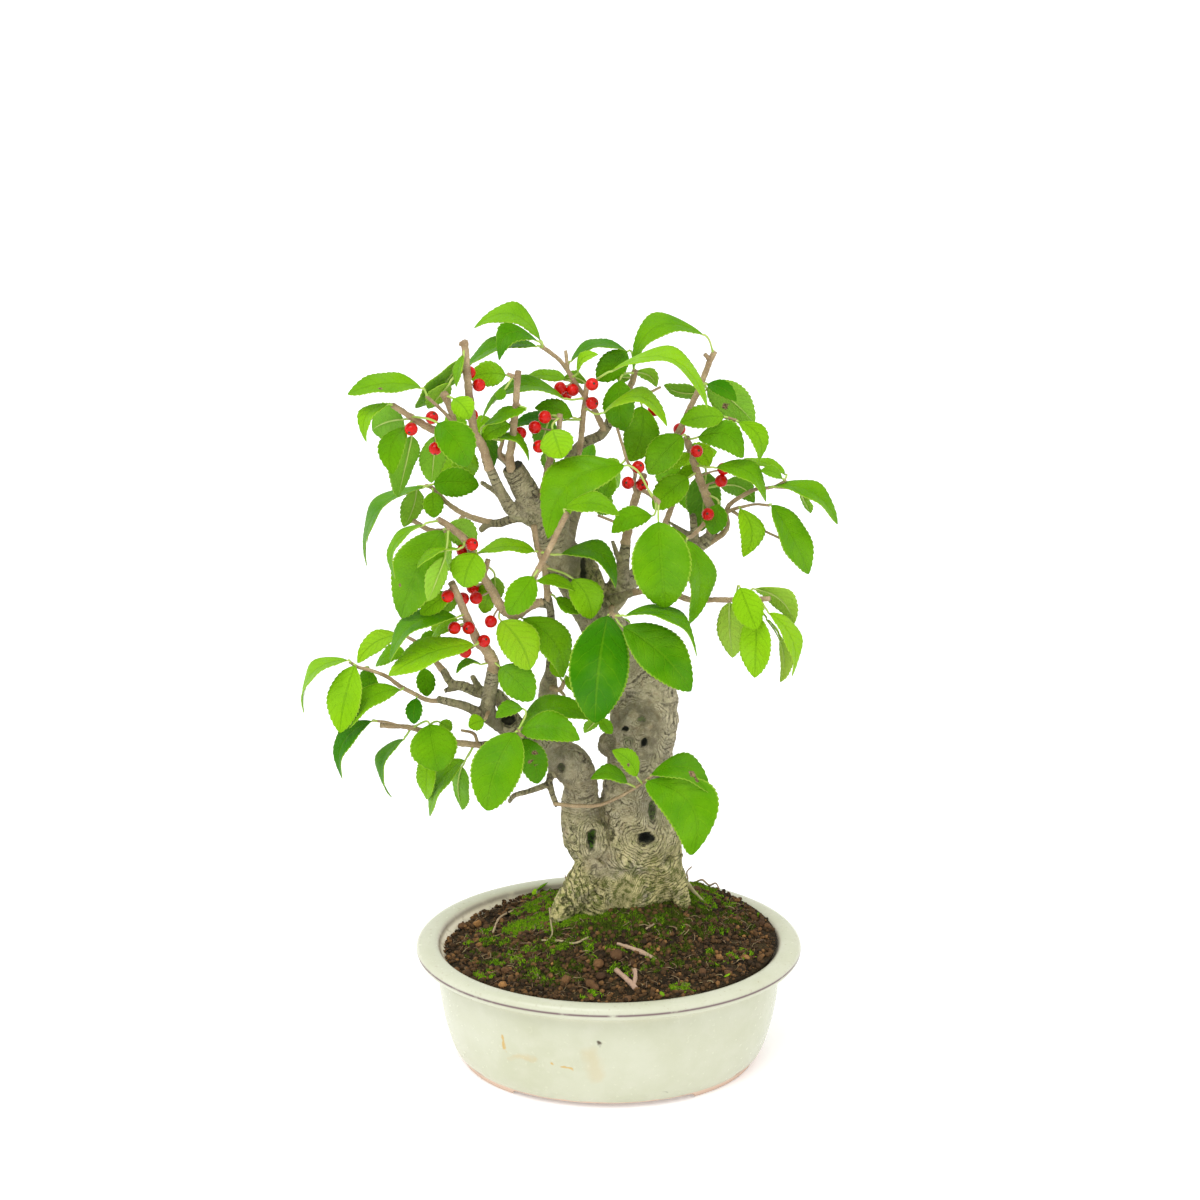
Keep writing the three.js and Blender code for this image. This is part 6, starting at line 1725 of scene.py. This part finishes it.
piece_of(oval_pot(), "glazed_pot", [GLAZE, BARE_CLAY], ["pot"])


# Soil


def soil_top(x, y):
    angle = math.atan2(y, x)
    edge = 47.8 - 4.5 * max(0, math.cos(angle - 2.3)) + 0.8 * math.cos(angle - 0.6)
    distance = math.hypot(x - MOUND_X, (y - MOUND_Y) * 1.15)
    return edge + MOUND_HEIGHT / (1 + (distance / MOUND_SPREAD) ** 4)


def inner_half_width(z):
    return float(np.interp(z, [6.5, 9, 42, 49.4, 60], [50, 55, 61.8, 66.4, 66.4]))


def crumbly(x, y):
    """The height of the soil's surface with its lumps."""
    spot = Vector((x, y, 0))
    lumps = 1.1 * noise.noise(spot * 0.12) + 0.7 * noise.noise(spot * 0.35) + 0.45 * noise.noise(spot * 0.9)
    return soil_top(x, y) + lumps


def soil_body():
    """The bed of soil: the pot's inside, closed by rings on the lumpy surface."""
    side = [Vector((inner_half_width(z) - SOIL_GAP - 0.3, 0, z)) for z in (7, 9, 20, 30, 38)]
    top = [Vector((100 * (1 - k / SOIL_RINGS), 0, 60)) for k in range(SOIL_RINGS + 1)]
    bm = spun_oval([Vector((0, 0, 7)), *side, *top], 170)
    for vert in bm.verts:
        if vert.co.z < 59:
            continue
        y = vert.co.y / POT_DEPTH_RATIO
        share = math.hypot(vert.co.x, y) / 100
        angle = math.atan2(y, vert.co.x)
        edge = soil_top(SOIL_REACH * math.cos(angle), SOIL_REACH * math.sin(angle) * POT_DEPTH_RATIO)
        reach = (inner_half_width(edge) - SOIL_GAP - 0.4) * share
        x = reach * math.cos(angle)
        y = reach * math.sin(angle) * POT_DEPTH_RATIO
        vert.co = Vector((x, y, crumbly(x, y) if share < 0.99 else soil_top(x, y)))
    return bm


piece_from(soil_body(), "soil_bed", [EARTH], ["soil"])


# What lies and grows on the soil


def template(bm):
    """A small shape as its points and its triangles."""
    bmesh.ops.triangulate(bm, faces=bm.faces)
    bm.verts.index_update()
    verts = np.array([vert.co for vert in bm.verts], float)
    faces = np.array([[vert.index for vert in face.verts] for face in bm.faces])
    bm.free()
    return verts, faces


def ball(subdivisions):
    bm = bmesh.new()
    bmesh.ops.create_icosphere(bm, subdivisions=subdivisions, radius=1)
    return template(bm)


def spike():
    bm = bmesh.new()
    bmesh.ops.create_cone(bm, cap_ends=True, segments=3, radius1=1, radius2=0, depth=2)
    return template(bm)


def arched_fibre():
    """A short thin root, bent upwards in an arc."""
    bm = bmesh.new()
    arc = [Vector((math.cos(a), 0.25 * math.sin(2 * a), 0.5 * math.sin(a))) for a in np.linspace(0, 3.1, 6)]
    bent_tube(bm, [(point, 0.06) for point in arc], 3)
    return template(bm)


def scattered(name, shape, spots, material, rng, rough=0.18):
    """Copies of one small shape, each set down, turned and made irregular in its own way.
    Spots are rows of [x, y, z, size along x, y and z, leaning]."""
    verts, faces = shape
    all_verts = []
    for x, y, z, wide, deep, tall, lean in spots:
        turn = Matrix.Rotation(rng.uniform(0, 6.28), 3, "Z") @ Matrix.Rotation(lean, 3, "X")
        local = verts * (wide, deep, tall) * (1 + rng.uniform(-rough, rough, verts.shape))
        all_verts.append(local @ np.array(turn).T + (x, y, z))
    count = len(verts)
    all_faces = [faces + k * count for k in range(len(spots))]
    mesh = bpy.data.meshes.new(name)
    mesh.from_pydata(np.concatenate(all_verts).tolist(), [], np.concatenate(all_faces).tolist())
    set_value(mesh, "tint", np.repeat(rng.random(len(spots)), count))
    piece_of(mesh, name, [material], [])


def free_soil(x, y, margin):
    """Whether a place is that far inside the pot and clear of the trunk."""
    in_pot = math.hypot(x, y / POT_DEPTH_RATIO) < SOIL_REACH - margin
    return in_pot and math.hypot((x - 4) / 25, (y - 14.7) / 17) >= 0.92


def free_place(rng, half_width, half_depth, margin):
    while True:
        x = rng.uniform(-half_width, half_width)
        y = rng.uniform(-half_depth, half_depth)
        if free_soil(x, y, margin):
            return x, y


def granule_spots(rng, count, low, high):
    spots = []
    for _ in range(count):
        x, y = free_place(rng, 65, 54, -0.6)
        size = low + (high - low) * rng.random() ** 2.5
        deep = size * rng.uniform(0.7, 1)
        tall = size * rng.uniform(0.6, 0.95)
        spots.append((x, y, crumbly(x, y) + size * 0.35, size, deep, tall, rng.uniform(-1, 1)))
    return spots


def moss_spots(rng, count, patches):
    """Sprigs thrown on the patches and kept where a ragged pattern and the patch's share let them stand."""
    spots = []
    tries = 0
    weights = np.array([wide * deep * share for _, _, wide, deep, share in patches])
    weights = weights / weights.sum()
    while len(spots) < count and tries < MOST_TRIES:
        tries += 1
        x, y, wide, deep, share = patches[rng.choice(len(patches), p=weights)]
        angle = rng.uniform(0, 6.28)
        reach = rng.random() ** 0.6
        x += wide * reach * math.cos(angle)
        y += deep * reach * math.sin(angle)
        ragged = 0.5 + 0.9 * noise.noise(Vector((x, y, 4)) * 0.22)
        ragged += 0.5 * noise.noise(Vector((x, y, 9)) * 0.7)
        if ragged < 0.95 - share * 0.8 or not free_soil(x, y, 1):
            continue
        tall = rng.uniform(0.5, 1.3)
        z = crumbly(x, y) + 0.3 * tall + 1.3 * max(0, ragged - 0.4) * rng.random()
        spots.append((x, y, z, SPRIG_RADIUS, SPRIG_RADIUS, tall, rng.uniform(-1.3, 1.3)))
    return spots


def fibre_spots(rng, count):
    spots = []
    for _ in range(count):
        x, y = free_place(rng, 62, 48, 3)
        size = 0.8 + 2.6 * rng.random() ** 2
        tall = size * rng.uniform(0.2, 0.9)
        spots.append((x, y, crumbly(x, y) + 0.4, size, size, tall, rng.uniform(-0.7, 0.7)))
    return spots


def stone(x, y, size):
    return x, y, crumbly(x, y) + 0.4 * size, size, 0.85 * size, 0.75 * size, 0.3


def weed(x, y, size, lean):
    return x, y, crumbly(x, y) + 0.8 * size, 0.65 * size, size, 0.16 * size, lean


def fallen_wood():
    bm = bmesh.new()
    tints = []
    for tint, rows in FALLEN_WOOD:
        points = [Vector((x, y, crumbly(x, y) + up)) for x, y, up, _ in rows]
        spans = [max(2, round((b - a).length / 0.8)) for a, b in zip(points, points[1:])]
        line = centripetal(points, spans)
        steps = np.linspace(0, len(rows) - 1, len(line))
        radii = np.interp(steps, range(len(rows)), [row[3] for row in rows])
        bent_tube(bm, list(zip(line, radii)), 9, 0, 0.3)
        tints += [tint] * (len(bm.verts) - len(tints))
    mesh = mesh_of(bm, "fallen_twigs")
    set_value(mesh, "tint", np.array(tints))
    piece_of(mesh, "fallen_twigs", [DEAD_WOOD], [])


RNG = np.random.default_rng(7)
PEBBLE = ball(2)
SPRIG = spike()
scattered("soil_granules", ball(1), granule_spots(RNG, 8200, 0.25, 1.35), GRANULES, RNG, 0.3)
LARGER_STONES = [stone(*row) for row in STONES]
scattered("soil_pebbles", PEBBLE, granule_spots(RNG, 90, 0.8, 1.9) + LARGER_STONES, PEBBLES, RNG, 0.26)
scattered("moss_sprigs", SPRIG, moss_spots(RNG, 30000, MOSS_PATCHES), MOSS, RNG)
scattered("old_moss", SPRIG, moss_spots(RNG, 16000, OLD_MOSS_PATCHES), OLD_MOSS, RNG)
scattered("dry_fibres", arched_fibre(), fibre_spots(RNG, 620), STRAW, RNG)
scattered("small_weeds", PEBBLE, [weed(*row) for row in WEEDS], MOSS, RNG)
fallen_wood()


# Camera, floor and light


def set_camera():
    camera = bpy.data.cameras.new("camera")
    camera.lens = LENS
    camera.sensor_width = 36
    camera.clip_start = 0.05
    camera.clip_end = 50
    holder = set_down("camera", camera)
    tilt = Matrix.Rotation(math.pi / 2 - VIEW_PITCH, 4, "X")
    holder.matrix_world = Matrix.Translation(TO_FRAME @ EYE) @ tilt
    bpy.context.scene.camera = holder


def lay_floor():
    bm = bmesh.new()
    bmesh.ops.create_grid(bm, x_segments=1, y_segments=1, size=30)
    floor = set_down("floor", mesh_of(bm, "floor"))
    material, tree, shader = new_material("pale floor")
    dress(tree, shader, (0.93, 0.93, 0.93), 0.9, 0.1)
    shader.inputs["Emission Color"].default_value = (1, 1, 1, 1)
    shader.inputs["Emission Strength"].default_value = 0.2
    floor.data.materials.append(material)


def set_light():
    world = bpy.data.worlds.new("studio")
    world.use_nodes = True
    background = world.node_tree.nodes["Background"]
    background.inputs["Color"].default_value = (1, 1, 1, 1)
    background.inputs["Strength"].default_value = 1.08
    bpy.context.scene.world = world
    bpy.context.scene.view_settings.view_transform = "Standard"
    sky = bpy.data.lights.new("soft sky", "SUN")
    sky.energy = 1.15
    sky.angle = math.radians(35)
    set_down("soft sky", sky).rotation_euler = (math.radians(24), math.radians(-14), 0)
    key = bpy.data.lights.new("key", "AREA")
    key.energy = 1.5
    key.size = 0.8
    holder = set_down("key", key)
    holder.location = (-0.6, -0.8, 1.3)
    aim = Vector((0, 0, 0.15)) - holder.location
    holder.rotation_euler = aim.to_track_quat("-Z", "Y").to_euler()


set_camera()
lay_floor()
set_light()
